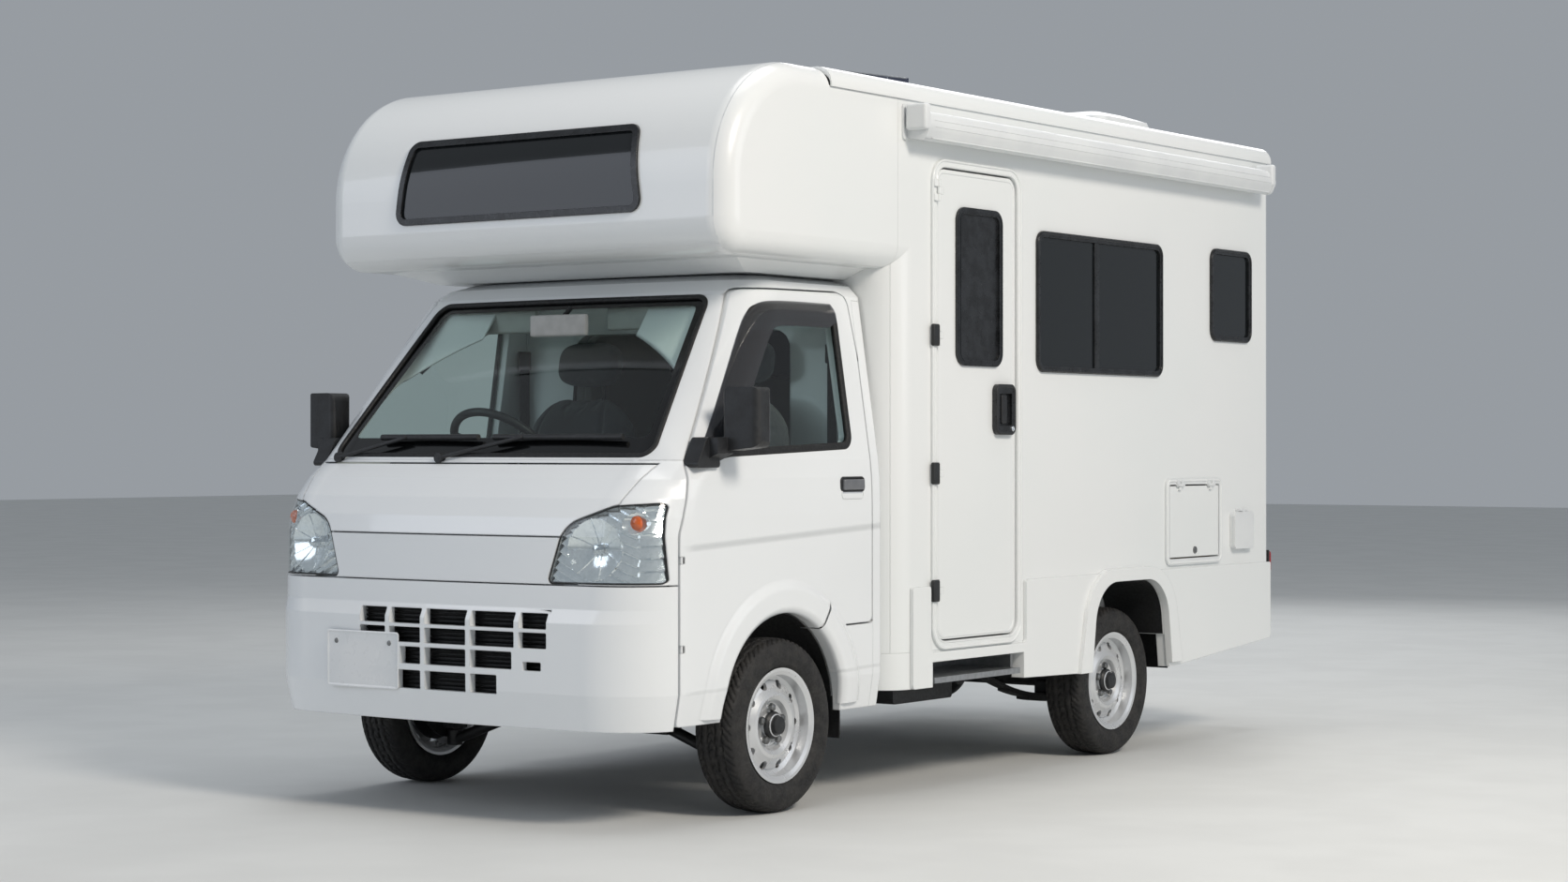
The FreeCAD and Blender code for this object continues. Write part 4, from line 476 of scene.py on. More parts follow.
# Thin glass: lets light straight through, tinted, with a clear gloss on its outward side
def makeGlass(name, tint, roughness=0.01, veil=0.0, veilColour="#808488"):
    tree, unused, coords = startMaterial(name, tint, roughness)
    tree.nodes.remove(unused)
    rough = ramp(tree, noise(tree, coords, 0.12, 3.0), 0.45, 0.75, roughness, roughness + 0.02)
    clear = addNode(tree, "BsdfTransparent", {"Color": linear(tint)})
    gloss = addNode(tree, "BsdfGlossy", {"Color": (1.0, 1.0, 1.0, 1.0), "Roughness": rough})
    outward = calc(tree, "SUBTRACT", 1.0, addNode(tree, "NewGeometry").outputs["Backfacing"])
    share = calc(tree, "MULTIPLY", addNode(tree, "Fresnel", {"IOR": 1.5}).outputs[0], outward)
    shader = addNode(tree, "MixShader", {"Fac": share, 1: clear.outputs[0], 2: gloss.outputs[0]})
    if veil:
        body = addNode(tree, "BsdfPrincipled", {"Base Color": linear(veilColour), "Roughness": 0.12})
        shader = addNode(tree, "MixShader", {"Fac": veil, 1: shader.outputs[0], 2: body.outputs[0]})
    tree.links.new(shader.outputs[0], tree.nodes["Material Output"].inputs["Surface"])
    return tree, shader, coords


# Windscreen: clear glass with a black printed border by distance from its edges
screenValues = {"lowZ": 1.034, "highZ": 1.496, "halfLow": 0.612, "halfHigh": 0.520,
                "borderSide": 0.034, "borderTop": 0.026, "borderFoot": 0.050}


def makeScreenGlass():
    # the border begins where the softened least distance from side, top and foot falls under zero
    v = screenValues
    tree, shader, coords = makeGlass("windscreen_glass", "#f1f7f5")
    x, y, z = separated(tree, coords)
    lean = (v["halfLow"] - v["halfHigh"]) / (v["highZ"] - v["lowZ"])
    edge = calc(tree, "SUBTRACT", v["halfLow"] + lean * v["lowZ"], calc(tree, "MULTIPLY", z, lean))
    fromSide = calc(tree, "SUBTRACT", calc(tree, "SUBTRACT", edge, calc(tree, "ABSOLUTE", x)), v["borderSide"])
    fromTop = calc(tree, "SUBTRACT", v["highZ"] - v["borderTop"], z)
    fromFoot = calc(tree, "SUBTRACT", z, v["lowZ"] + v["borderFoot"])
    inside = calc(tree, "SMOOTH_MIN", calc(tree, "SMOOTH_MIN", fromSide, fromTop, 0.03), fromFoot, 0.03)
    clear = ramp(tree, inside, -0.001, 0.001)
    black = addNode(tree, "BsdfPrincipled", {"Base Color": linear("#0b0c0d"), "Roughness": 0.12})
    mixed = addNode(tree, "MixShader", {"Fac": clear, 1: black.outputs[0], 2: shader.outputs[0]})
    tree.links.new(mixed.outputs[0], tree.nodes["Material Output"].inputs["Surface"])


# Woven seat cloth: two crossed sets of fine threads, the low cells of the weave painted darker as painted shade
seatClothValues = {"thread": 0.0016, "colour": "#5a5b61", "dark": "#3c3d42", "depth": 0.0005}


def makeSeatCloth():
    # the weave is sin(x) * sin(y + z) of the thread's phase
    v = seatClothValues
    tree, shader, coords = startMaterial("seat_cloth", v["colour"], 0.9)
    x, y, z = separated(tree, coords)
    scale = 2 * math.pi / v["thread"]
    across = calc(tree, "SINE", calc(tree, "MULTIPLY", x, scale))
    along = calc(tree, "SINE", calc(tree, "MULTIPLY", calc(tree, "ADD", y, z), scale))
    weave = calc(tree, "MULTIPLY", across, along)
    # painted shade: the colour goes to the dark one where the weave's bump is lowest
    blendColours(tree, shader, ramp(tree, weave, -0.6, 0.8), v["dark"], v["colour"])
    shader.inputs["Sheen Weight"].default_value = 0.3
    bump = addNode(tree, "Bump", {"Height": weave, "Distance": v["depth"], "Strength": 0.7})
    tree.links.new(bump.outputs["Normal"], shader.inputs["Normal"])


# Solar cells: dark blue squares with thin pale lines where the phase across a cell is near its ends
solarValues = {"base": "#10162b", "cell": "#131b36", "line": "#8d949c", "roughness": 0.15, "size": 0.125,
               "startY": 0.235, "lineFrom": (0.484, 0.490)}


def makeSolarCells():
    v = solarValues
    tree, shader, coords = startMaterial("solar_cells", v["base"], v["roughness"], 0.0, 1.0)
    x, y, z = separated(tree, coords)
    lines = []
    for axis, start in ((x, 0.0), (y, frontAxleY + v["startY"])):
        phase = calc(tree, "FRACT", calc(tree, "DIVIDE", calc(tree, "SUBTRACT", axis, start), v["size"]))
        lines.append(calc(tree, "ABSOLUTE", calc(tree, "SUBTRACT", phase, 0.5)))
    blendColours(tree, shader, ramp(tree, calc(tree, "MAXIMUM", *lines), *v["lineFrom"]), v["cell"], v["line"])


# Tyre rubber: near black, dull, slightly dusty on the tread
def makeTyreRubber():
    tree, shader, coords = startMaterial("tyre_rubber", "#1d1d1e", 0.75)
    bumps = [(noise(tree, coords, 0.0015, 4.0), 0.00015)]
    finishSurface(tree, shader, coords, ("#1a1a1b", "#2a2928"), 0.03, (0.62, 0.85), bumps)


# Cabinet wood: pale board with long grain
def makeBoard():
    tree, shader, coords = startMaterial("cabinet_board", "#b79c79", 0.5)
    stretched = addNode(tree, "Mapping", {"Vector": coords, "Scale": (1.0, 0.08, 1.0)}).outputs["Vector"]
    grain = noise(tree, stretched, 0.008, 5.0)
    blendColours(tree, shader, grain, "#a48862", "#c6ad8a")
    bump = addNode(tree, "Bump", {"Height": grain, "Distance": 0.0002})
    tree.links.new(bump.outputs["Normal"], shader.inputs["Normal"])


# Plain materials: two close colours, roughness, metres between their tones, metal share, coat,
# grain as (period, depth) and the radius that rounds hard edges
plainTable = [
    ("white_plastic", "#dfe2e3", "#d9dcde", 0.34, 0.2, 0.0, 0.2, (0.002, 0.00004), 0.002),
    ("black_plastic", "#1b1c1e", "#222427", 0.48, 0.04, 0.0, 0.0, (0.0012, 0.00012), 0.003),
    ("handle_grey", "#6c6e72", "#63656a", 0.32, 0.05, 0.0, 0.3, (0.001, 0.00004)),
    # the next row is a painted shadow: the shade inside the door handles' scoops
    ("hollow_grey", "#c3c8cf", "#bcc1c9", 0.40, 0.05, 0.0, 0.3, (0.001, 0.00004)),
    ("window_frame_black", "#141517", "#222427", 0.3, 0.04, 0.0, 0.0, (0.0012, 0.00012), 0.003),
    ("seal_rubber", "#101112", "#17181a", 0.6, 0.03, 0.0, 0.0, (0.001, 0.00008)),
    ("chassis_black", "#151617", "#232324", 0.45, 0.06, 0.0, 0.0, (0.004, 0.0002), 0.003),
    ("cast_iron_grey", "#4a4b4c", "#3a3b3b", 0.6, 0.04, 0.8, 0.0, (0.002, 0.0003)),
    ("dull_steel", "#8b8c8c", "#747575", 0.42, 0.05, 1.0, 0.0, (0.001, 0.00006)),
    ("wheel_silver", "#d6d8da", "#d1d3d6", 0.30, 0.4, 0.55, 0.2),
    ("brushed_aluminium", "#b4b6b8", "#a7a9ab", 0.36, 0.02, 1.0, 0.0, (0.0008, 0.00006)),
    ("lamp_silver", "#f8fafc", "#eef1f4", 0.12, 0.01, 0.85, 0.3),
    ("lamp_chrome", "#dfe2e5", "#d3d6da", 0.07, 0.03, 1.0),
    ("red_lens", "#a3141a", "#8c1016", 0.14, 0.02, 0.0, 0.8, (0.004, 0.0004)),
    ("amber_lens", "#d9641c", "#c9581a", 0.16, 0.02, 0.0, 0.8, (0.003, 0.0004)),
    ("dash_grey", "#4a4d52", "#43464b", 0.62, 0.05, 0.0, 0.0, (0.0011, 0.00015), 0.008),
    ("trim_grey", "#a9aaa8", "#9fa09e", 0.66, 0.06, 0.0, 0.0, (0.0011, 0.00012), 0.005),
    ("mirror_glass", "#e4e8ea", "#dfe3e6", 0.02, 0.05, 1.0),
    ("grille_black", "#0a0b0c", "#101112", 0.55, 0.02, 0.0, 0.0, (0.002, 0.0002)),
    ("plate_blank", "#e3e5e6", "#dcdfe1", 0.3, 0.1, 0.0, 0.3),
]
# Glass: tint, roughness, share and colour of the veil
glassTable = [("clear_glass", "#f0f6f4"), ("lamp_lens", "#fafcfc"),
              ("smoked_glass", "#4a5154", 0.01, 0.45, "#23282b"), ("smoked_visor", "#9a9ba0", 0.02, 0.20, "#6b6c70")]
for row in plainTable:
    plainMaterial(*row)
for row in glassTable:
    makeGlass(*row)
for makeMaterial in (makeCabPaint, makeShellWhite, makeScreenGlass, makeSeatCloth, makeSolarCells, makeTyreRubber,
                     makeBoard):
    makeMaterial()


def byName(table):
    # from rows of (value, names in one string) to a value for each name
    return {name: value for value, names in table.items() for name in names.split()}


# The material of each solid's mesh
nodeMaterials = byName({
    "white_cab_paint": "cab_body cab_rear_wall cab_wheelhouses cab_door_left cab_door_right front_bumper front_panels",
    "white_gel_coat": "camper_shell shell_floor shell_wheel_boxes shell_side_walls camper_roof entry_door skirts "
                      "hatch_lid rear_bumper",
    "white_plastic": "hatch_frame inlet_lid awning roof_vent_lid",
    "clear_glass": "door_glass_left door_glass_right", "windscreen_glass": "windscreen",
    "smoked_glass": "window_panes", "window_frame_black": "window_frames entry_door_window",
    "lamp_lens": "headlamp_lenses", "lamp_silver": "headlamp_housings", "red_lens": "tail_lamps",
    "black_plastic": "mirror_left mirror_right wipers battery_box steering_wheel", "seal_rubber": "mudflaps",
    "dash_grey": "dashboard", "brushed_aluminium": "radiator entry_step", "dull_steel": "exhaust propeller_shaft",
    "chassis_black": "chassis_frame fuel_tank front_suspension rear_axle",
    "cast_iron_grey": "engine knuckle_left knuckle_right", "solar_cells": "solar_panel",
    "cabinet_board": "furniture", "seat_cloth": "cab_seats",
    "wheel_silver": "wheel_front_left wheel_front_right wheel_rear_left wheel_rear_right",
    "tyre_rubber": "tyre_front_left tyre_front_right tyre_rear_left tyre_rear_right"})
for nodeName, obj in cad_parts.items():
    obj.data.materials.clear()
    obj.data.materials.append(materials[nodeMaterials[nodeName]])
print("materials done")


# Tyres: the solid's section with rounded shoulders, a ribbed tread and raised rings on the side wall
tyreSection = np.array([
    (-0.0500, 0.1545), (-0.0530, 0.1640), (-0.0580, 0.1685), (-0.0660, 0.1765), (-0.0710, 0.1880),
    (-0.0725, 0.2010), (-0.0722, 0.2160), (-0.0690, 0.2300), (-0.0640, 0.2400), (-0.0560, 0.2470),
    (-0.0440, 0.2508), (-0.0220, 0.2522), (0.0, 0.2525)])
treadValues = {"around": 360, "across": 97, "grooves": (-0.036, -0.0125, 0.0125, 0.036), "grooveWidth": 0.0055,
               "grooveDepth": 0.0066, "grooveEdge": 0.0012, "zigzag": 0.0018, "shoulder": (0.2385, 0.2435),
               "sipes": 66, "sipeDepth": 0.0045, "sipeSlant": 55, "sipeShare": 0.1, "plainAt": (0.024, 0.004),
               # raised rings on the side wall: radius, width, height
               "rings": ((0.1790, 0.0012, 0.0009), (0.2260, 0.0012, 0.0009), (0.2205, 0.0009, 0.00072))}


def tyreMesh():
    # the section turned about X; on the tread the radius falls by the deeper of groove and cross cut
    v = treadValues
    half = np.concatenate([tyreSection, tyreSection[-2::-1] * np.array([-1, 1])])
    length = np.concatenate([[0], np.cumsum(np.linalg.norm(np.diff(half, axis=0), axis=1))])
    s = np.linspace(0, length[-1], v["across"])
    x, r = np.interp(s, length, half[:, 0]), np.interp(s, length, half[:, 1])
    # soften the polyline a little, ends kept
    for repeat in range(2):
        x[1:-1] = (x[:-2] + 2 * x[1:-1] + x[2:]) / 4
        r[1:-1] = (r[:-2] + 2 * r[1:-1] + r[2:]) / 4
    t = np.linspace(0, 2 * math.pi, v["around"], endpoint=False)[:, None]
    x, r = x[None, :], r[None, :]
    onTread = smoothstep(*v["shoulder"], r)
    zigzag = v["zigzag"] * np.sin(t * v["sipes"] / 2)
    groove = np.zeros_like(x + t)
    half, edge = v["grooveWidth"] / 2, v["grooveEdge"]
    for middle in v["grooves"]:
        groove = np.maximum(groove, 1 - smoothstep(half - edge, half + edge, np.abs(x - middle + zigzag)))
    # cross cuts slant one way on the left ribs and the other way on the right ones
    phase = (t * v["sipes"] / (2 * math.pi) + np.abs(x) * v["sipeSlant"]) % 1.0
    plainX, plainHalf = v["plainAt"]
    cross = (np.abs(phase - 0.5) < v["sipeShare"]) & (np.abs(np.abs(x) - plainX) > plainHalf)
    depth = onTread * np.maximum(groove * v["grooveDepth"], cross * v["sipeDepth"])
    ring = sum(height * np.exp(-((r - at) / width) ** 2) for at, width, height in v["rings"])
    radius = r - depth + t * 0
    along = np.clip(x + np.sign(x) * np.minimum(ring, 0.0004) + t * 0, -tyreHalf, tyreHalf)
    verts = np.stack([along, np.sin(t) * radius, np.cos(t) * radius], -1)
    return verts.reshape(-1, 3), gridFaces(v["around"], x.shape[1], True, False)




# Each tread takes the place of its tyre's solid
for tread in onWheels("tyre_{end}_{side}_tread", *tyreMesh(), "tyre_rubber", angle=50):
    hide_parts(tread.name.replace("_tread", ""))
print("tyres done")


# Wheels: a dark centre cap, bright six-sided nuts and the brake drum, a real part coloured near black as painted shade
# seen through the holes;
# the profiles are (along, radius) points
wheelValues = {"cap": [(0.030, 0.040), (0.038, 0.040), (0.046, 0.033), (0.050, 0.028), (0.0600, 0.026), (0.0615, 0.020),
                       (0.0625, 0.0)],
               "nut": [(0.026, 0.0), (0.026, 0.0125), (0.0370, 0.0115), (0.0400, 0.007), (0.0410, 0.0)],
               "nuts": 5, "nutCircle": 0.051,
               "drum": [(-0.030, 0.066), (-0.026, 0.070), (-0.026, 0.112), (-0.036, 0.118)]}


def makeWheelTrim():
    # the nuts stand at equal angles on their circle
    v = wheelValues
    nuts = Parts()
    for angle in np.arange(v["nuts"]) * 2 * math.pi / v["nuts"]:
        verts, faces = turnedShape(v["nut"], 6)
        nuts.add(verts + np.array([0, math.sin(angle), math.cos(angle)]) * v["nutCircle"], faces)
    onWheels("hub_cap_{end}_{side}", *turnedShape(v["cap"], 36), "black_plastic", angle=35)
    onWheels("wheel_nuts_{end}_{side}", *nuts.shape(), "dull_steel", angle=35)
    # the drum ring is coloured near-black rubber as painted shade behind the wheel's holes
    onWheels("wheel_back_{end}_{side}", *turnedShape(v["drum"], 48), "seal_rubber", angle=40)


makeWheelTrim()


# Outlines shared with the solids, in metres: (Y, Z, radius) on the side, (X, Z, radius) on the front
def scaled(corners, offsetY=0.0):
    # corners given in millimetres, brought to metres and to their place along Y
    return [(u / 1000 + offsetY, v / 1000, radius / 1000) for u, v, radius in corners]


doorWindow = scaled([(-352, 1028, 25), (-36, 1462, 50), (352, 1472, 45), (352, 1062, 35), (-250, 1040, 200)],
                    frontAxleY)
windscreenOutline = scaled([(-612, 1034, 30), (612, 1034, 30), (520, 1496, 45), (-520, 1496, 45)])
lampOutline = scaled([(402, 682, 12), (722, 682, 12), (712, 903, 14), (600, 895, 90), (452, 840, 90)])


def strip(surface, corners, outwards, out, profile, step=0.004):
    # a profile carried round an outline on a surface
    return sweep(*outlineOn(surface, corners, outwards, out, step), profile)


def makeSeals():
    # rubber round the windscreen and the door windows, and dark gaps round the lamps
    makeMesh("windscreen_seal", *strip(cabFront, windscreenOutline, (0, -1, 0.5), -0.001, bead(0.016, 0.006, 0.004)),
             "seal_rubber")
    makePair("door_window_seal_{side}", *strip(cabSide, doorWindow, (1, 0, 0.1), -0.003, bead(0.024, 0.006, 0.008)),
             "seal_rubber", "cab_door_{side}")
    parts = Parts()
    parts.addPair(*strip(cabFront, grownOutline(lampOutline, 0.001), (0.3, -1, 0), -0.003, band(0.004, 0.002)))
    parts.build("headlamp_seals", "seal_rubber")


makeSeals()
print("seals done")


# Lamps: one bright relief behind each lens with a fluted bowl, an amber lamp's cup and stepped side ribs;
# the caps of the bulb and of the amber lamp are turned from (along, radius) points
lampValues = {"bowl": (0.545, 0.775), "bowlRadius": 0.086, "bowlDepth": 0.032, "facets": 14, "facetStep": 0.0035,
              "amber": (0.655, 0.848), "cupRadius": 0.030, "cupDepth": 0.014, "ribsFrom": 0.668, "ribPitch": 0.034,
              "ribDepth": 0.013, "ribsZ": 0.684, "slantDepth": 0.010, "slantPitch": 0.026, "back": 0.0085,
              "footX": (0.404, 0.720), "footZ": 0.6835, "middle": (0.562, 0.79), "shrink": 0.015,
              "bulbCap": [(0.0, 0.0), (0.0, 0.016), (0.010, 0.0155), (0.019, 0.012), (0.022, 0.0)],
              "amberCap": [(0.0, 0.0), (0.0, 0.021), (0.006, 0.0195), (0.010, 0.014), (0.012, 0.0)]}


def lampRelief(x, z):
    # depth behind the cab's surface: a paraboloid bowl with alternate wedges sunk a step, a small
    # cup for the amber lamp, saw-tooth ribs at the outer edge and slanting facets below the cup
    v = lampValues
    dx, dz = x - v["bowl"][0], z - v["bowl"][1]
    share = np.hypot(dx, dz) / v["bowlRadius"]
    wedge = np.floor(np.arctan2(dz, dx) / (2 * math.pi / v["facets"])) % 2
    bowl = v["bowlDepth"] * (1 - share ** 2) + v["facetStep"] * wedge * (0.25 + share)
    cupShare = np.hypot(x - v["amber"][0], z - v["amber"][1]) / v["cupRadius"]
    cup = v["cupDepth"] * (1 - cupShare ** 2)
    ribs = v["ribDepth"] * ((z - v["ribsZ"]) / v["ribPitch"] % 1.0)
    slants = v["slantDepth"] * (((z - v["ribsZ"]) + 0.5 * (x - 0.6)) / v["slantPitch"] % 1.0)
    depth = np.where(share < 1, bowl, np.where(cupShare < 1, cup, np.where(x > v["ribsFrom"], ribs, slants)))
    return v["back"] + depth


def alongLine(points, count):
    # points at equal steps along a bent line, with their distances from its start
    length = np.concatenate([[0], np.cumsum(np.linalg.norm(np.diff(points, axis=0), axis=1))])
    s = np.linspace(0, length[-1], count)
    return np.stack([np.interp(s, length, points[:, k]) for k in range(points.shape[1])], -1), s


def turnedAlongY(profile, count, outwards, place):
    # a turned shape whose axis points outwards along Y
    verts, faces = turnedShape(profile, count)
    return np.stack([verts[:, 1], verts[:, 0] * outwards, verts[:, 2]], -1) + np.array(place), faces


def makeLamps():
    v = lampValues

    def nearest(ring, corner):
        return int(np.argmin(np.hypot(ring[:, 0] - corner[0], ring[:, 1] - corner[1])))

    # columns run from the lamp's straight lower edge to points along its left and top edges
    ring = roundedOutline(lampOutline, 0.002)
    ring = np.roll(ring, -nearest(ring, lampOutline[0]), axis=0)
    if ring[len(ring) // 8, 1] < 0.70:
        ring = np.roll(ring[::-1], 1, axis=0)
    top, s = alongLine(ring[:nearest(ring, lampOutline[2]) + 1], 210)
    foot = np.stack([np.linspace(*v["footX"], len(s)), np.full(len(s), v["footZ"])], -1)
    share = np.linspace(0, 1, 110)[:, None, None]
    uv = foot[None] * (1 - share) + top[None] * share
    uv = uv * (1 - v["shrink"]) + np.array(v["middle"]) * v["shrink"]
    x, z = uv[..., 0], uv[..., 1]
    points = cabFront(x.ravel(), z.ravel()).reshape(x.shape + (3,))
    points[..., 1] += lampRelief(x, z)
    bright = Parts()
    bright.addPair(points, gridFaces(*x.shape), (0, -1, 0))
    reflectors = bright.build("headlamp_reflectors", "lamp_silver", angle=12, towards=(0, -1, 0))
    for name, material, place, depth, sink, profile in (
            ("headlamp_bulb_caps", "lamp_chrome", v["bowl"], v["bowlDepth"], 0.001, v["bulbCap"]),
            ("headlamp_amber", "amber_lens", v["amber"], v["cupDepth"], 0.002, v["amberCap"])):
        x, z = place
        y = float(cabFront(np.array([x]), np.array([z]))[0][1]) + v["back"] + depth
        caps = Parts()
        caps.addPair(*turnedAlongY(profile, 32, -1, (x, y - sink, z)))
        caps.build(name, material, angle=30, towards=(0, -1, 0))
    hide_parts("headlamp_housings")


makeLamps()
print("lamps done")


# Front: a black sheet behind the grille as painted shade, slanted slats, the number plate and its bolts
grilleValues = {"x": (-0.296, 0.396), "z": (0.358, 0.606), "slatsZ": (0.364, 0.600), "pitch": 0.0118, "depth": 0.037,
                "slat": ((0.0, 0.0), (0.0065, -0.008), (0.0080, -0.006), (0.0015, 0.002))}
plateValues = {"middle": (-0.2775, 0.443), "size": (0.285, 0.165), "bolts": 0.210, "boltRise": 0.050,
               "boltHead": [(0.0, 0.0), (0.0, 0.008), (0.0018, 0.0072), (0.0026, 0.0)]}


def makeFrontTrim():
    # each slat is a four-sided strip of (up, back) points that follows the cab's bowed front
    v = grilleValues
    parts = Parts()
    x = np.linspace(*v["x"], 24)
    back = cabFront(x, np.full_like(x, 0.5), -v["depth"])[:, 1]
    for z0 in np.arange(*v["slatsZ"], v["pitch"]):
        rows = [np.stack([x, back + dy, np.full_like(x, z0 + dz)], -1) for dz, dy in v["slat"]]
        parts.add(np.stack(rows, 0), gridFaces(4, len(x), True, False))
    parts.build("grille_slats", "grille_black", angle=30)
    # painted shade: a black sheet across the back of the grille's slots
    sheet = np.stack([np.stack([x, back + 0.0005, np.full_like(x, z)], -1) for z in v["z"]], 0)
    makeMesh("grille_shade_sheet", sheet, gridFaces(2, len(x)), "grille_black", towards=(0, -1, 0))


makeFrontTrim()


def plateOutline(middle, inset, radius, step):
    # the plate's rounded outline round its middle, each side moved in by the inset
    w, h = plateValues["size"][0] / 2 - inset, plateValues["size"][1] / 2 - inset
    return roundedOutline(rectangle(middle[0] - w, middle[0] + w, middle[1] - h, middle[1] + h, radius), step)


def makePlate(name, middle, y, outwards):
    # a blank pressed plate: raised rim round a flat field, facing -Y or +Y
    v = plateValues
    rings = [(0.0, 0.0), (0.0, 0.0022), (0.0035, 0.0030), (0.0060, 0.0022), (0.0085, 0.0012)]
    layers = [plateOutline(middle, inset, 0.010 - inset * 0.8, 0.002) for inset, height in rings]
    count = min(len(layer) for layer in layers)
    resampled = [layer[np.linspace(0, len(layer) - 1, count).astype(int)] for layer in layers]
    rows = [np.stack([uv[:, 0], np.full(count, y + outwards * height), uv[:, 1]], -1)
            for uv, (inset, height) in zip(resampled, rings)]
    centre = np.broadcast_to(np.array([middle[0], y + outwards * rings[-1][1], middle[1]]), (count, 3))
    makeMesh(name, np.stack(rows + [centre], 0), gridFaces(len(rows) + 1, count, False, True), "plate_blank",
             angle=8, towards=(0, outwards, 0))
    bolts = Parts()
    for x in (-v["bolts"] / 2, v["bolts"] / 2):
        bolts.add(*turnedAlongY(v["boltHead"], 24, outwards, (middle[0] + x, y + outwards * 0.0006,
                                                              middle[1] + v["boltRise"])))
    bolts.build(name + "_bolts", "dull_steel", angle=30)


makePlate("front_plate", plateValues["middle"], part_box("front_bumper")[0][1] + 0.0035, -1)
print("front done")


# Side of the cab: grey pulls in dark frames over painted scoops with a grey patch in each as painted shadow, the smoked
# visors and the arch flares
handleValues = {"y": (0.284, 0.404), "z": (0.904, 0.966), "pullFoot": 0.927}


def makeHandles():
    # thin blocks stand a little out of the door's face inside the beads of frame and scoop; the pale grey block low in
    # the scoop is a painted shadow of its recess
    y0, y1 = (frontAxleY + q for q in handleValues["y"])
    z0, z1 = handleValues["z"]
    foot = handleValues["pullFoot"]
    x = float(cabSide(np.array([(y0 + y1) / 2]), np.array([(z0 + z1) / 2]))[0][0])
    surround, pull, scoop, hollow = Parts(), Parts(), Parts(), Parts()
    surround.add(*strip(cabSide, rectangle(y0, y1, foot, z1, 0.012), (1, 0, 0), 0.0, bead(0.007, 0.0035, 0.002), 0.002))
    surround.add(*softBlock((x - 0.004, y0 + 0.003, foot + 0.001), (x + 0.0010, y1 - 0.003, z1 - 0.002), 0.0015))
    pull.add(*softBlock((x - 0.002, y0 + 0.006, foot + 0.003), (x + 0.0095, y1 - 0.006, z1 - 0.005), 0.004))
    scoop.add(*strip(cabSide, rectangle(y0 + 0.004, y1 - 0.004, z0, foot + 0.004, 0.012), (1, 0, 0), 0.0,
                     bead(0.005, 0.0022, 0.002), 0.002))
    # painted shadow: a thin pale grey patch that stands for the shade inside the scoop's recess
    hollow.add(*softBlock((x - 0.004, y0 + 0.007, z0 + 0.003), (x + 0.0006, y1 - 0.007, foot), 0.0015))
    for name, parts, material in (("frame", surround, "black_plastic"), ("pull", pull, "handle_grey"),
                                  ("scoop", scoop, "white_plastic"), ("hollow", hollow, "hollow_grey")):
        makePair("cab_door_handle_%s_{side}" % name, *parts.shape(), material, "cab_door_{side}", angle=45)


makeHandles()

# the visor's line is (Y from the front axle, Z)
visorValues = {"stand": 0.022, "thickness": 0.0025, "width": 0.075,
               "line": [(-0.335, 1.085), (-0.285, 1.150), (-0.130, 1.360), (-0.075, 1.432), (-0.045, 1.462),
                        (-0.005, 1.482), (0.08, 1.486), (0.20, 1.487), (0.335, 1.486)]}


def makeVisors():
    # a smoked strip over the window's front edge and top, standing off the door on its inner rim
    v = visorValues
    path, s = alongLine(np.array(v["line"]), 70)
    for repeat in range(6):
        path[1:-1] = (path[:-2] + 2 * path[1:-1] + path[2:]) / 4
    along = np.gradient(path, axis=0)
    along /= np.linalg.norm(along, axis=1, keepdims=True)
    inwards = np.stack([along[:, 1], -along[:, 0]], -1)
    taper = smoothstep(0, 0.10, s) * (1 - 0.35 * smoothstep(s[-1] - 0.06, s[-1], s))
    outer, inner = [], []
    for share in np.linspace(0, 1, 9):
        flat = path + inwards * (v["width"] * share * (0.35 + 0.65 * taper))[:, None]
        rise = v["stand"] * math.sin(min(share * 1.6, 1.0) * math.pi / 2) * (0.4 + 0.6 * taper)
        outer.append(cabSide(flat[:, 0] + frontAxleY, flat[:, 1]) + np.stack([rise + 0.001, 0 * rise, 0 * rise], -1))
        inner.append(outer[-1] - np.array([v["thickness"], 0, 0]))
    verts = np.stack(outer + inner[::-1], 0)
    makePair("door_visor_{side}", verts.reshape(-1, 3), gridFaces(len(verts), len(s), True, False), "smoked_visor",
             "cab_door_{side}", angle=60)


makeVisors()

flareValues = {"centreZ": 0.285, "inner": 0.2935, "outer": 0.392, "height": 0.0125}


def flareMesh(a0, a1):
    # a soft rise round the wheel opening between two angles from straight up, towards the rear
    v = flareValues
    t = np.radians(np.linspace(a0, a1, 90))[:, None]
    share = np.linspace(0, 1, 22)[None, :]
    r = v["inner"] + (v["outer"] - v["inner"]) * share
    y = frontAxleY + r * np.sin(t)
    z = v["centreZ"] + r * np.cos(t)
    profile = np.where(share < 0.22, np.sin(np.clip(share / 0.22, 0, 1) * math.pi / 2),
                       1 - smoothstep(0.66, 1.0, share))
    rise = v["height"] * profile + 0.0004
    points = cabSide(y.ravel(), z.ravel()).reshape(t.size, share.size, 3)
    outer = points + np.stack([rise + 0 * t, 0 * rise + 0 * t, 0 * rise + 0 * t], -1)
    rim = points[:, :1] - np.array([0.012, 0, 0])
    grid = np.concatenate([rim, outer], 1)
    return grid.reshape(-1, 3), gridFaces(t.size, share.size + 1)[:, ::-1]


# The door carries the arch up to its lower rear corner, the cab carries the stretch behind it
for flareName, span, flareBody in (("door_arch_flare_{side}", (-88, 34.5), "cab_door_{side}"),
                                   ("cab_arch_flare_{side}", (36.0, 88), "vehicle")):
    makePair(flareName, *flareMesh(*span), "white_cab_paint", flareBody, angle=50, towards=(1, 0, 0))
print("cab side done")


# Mirrors and entry window: a thin edge strip over a rounded outline
def plateEdge(outline, toPoint, depth):
    # quads between the outline and the same outline moved by the depth
    top = toPoint(outline)
    i = np.arange(len(outline))
    j = (i + 1) % len(outline)
    return np.concatenate([top, top - np.asarray(depth)]), np.stack([i, i + len(i), j + len(i), j], -1)


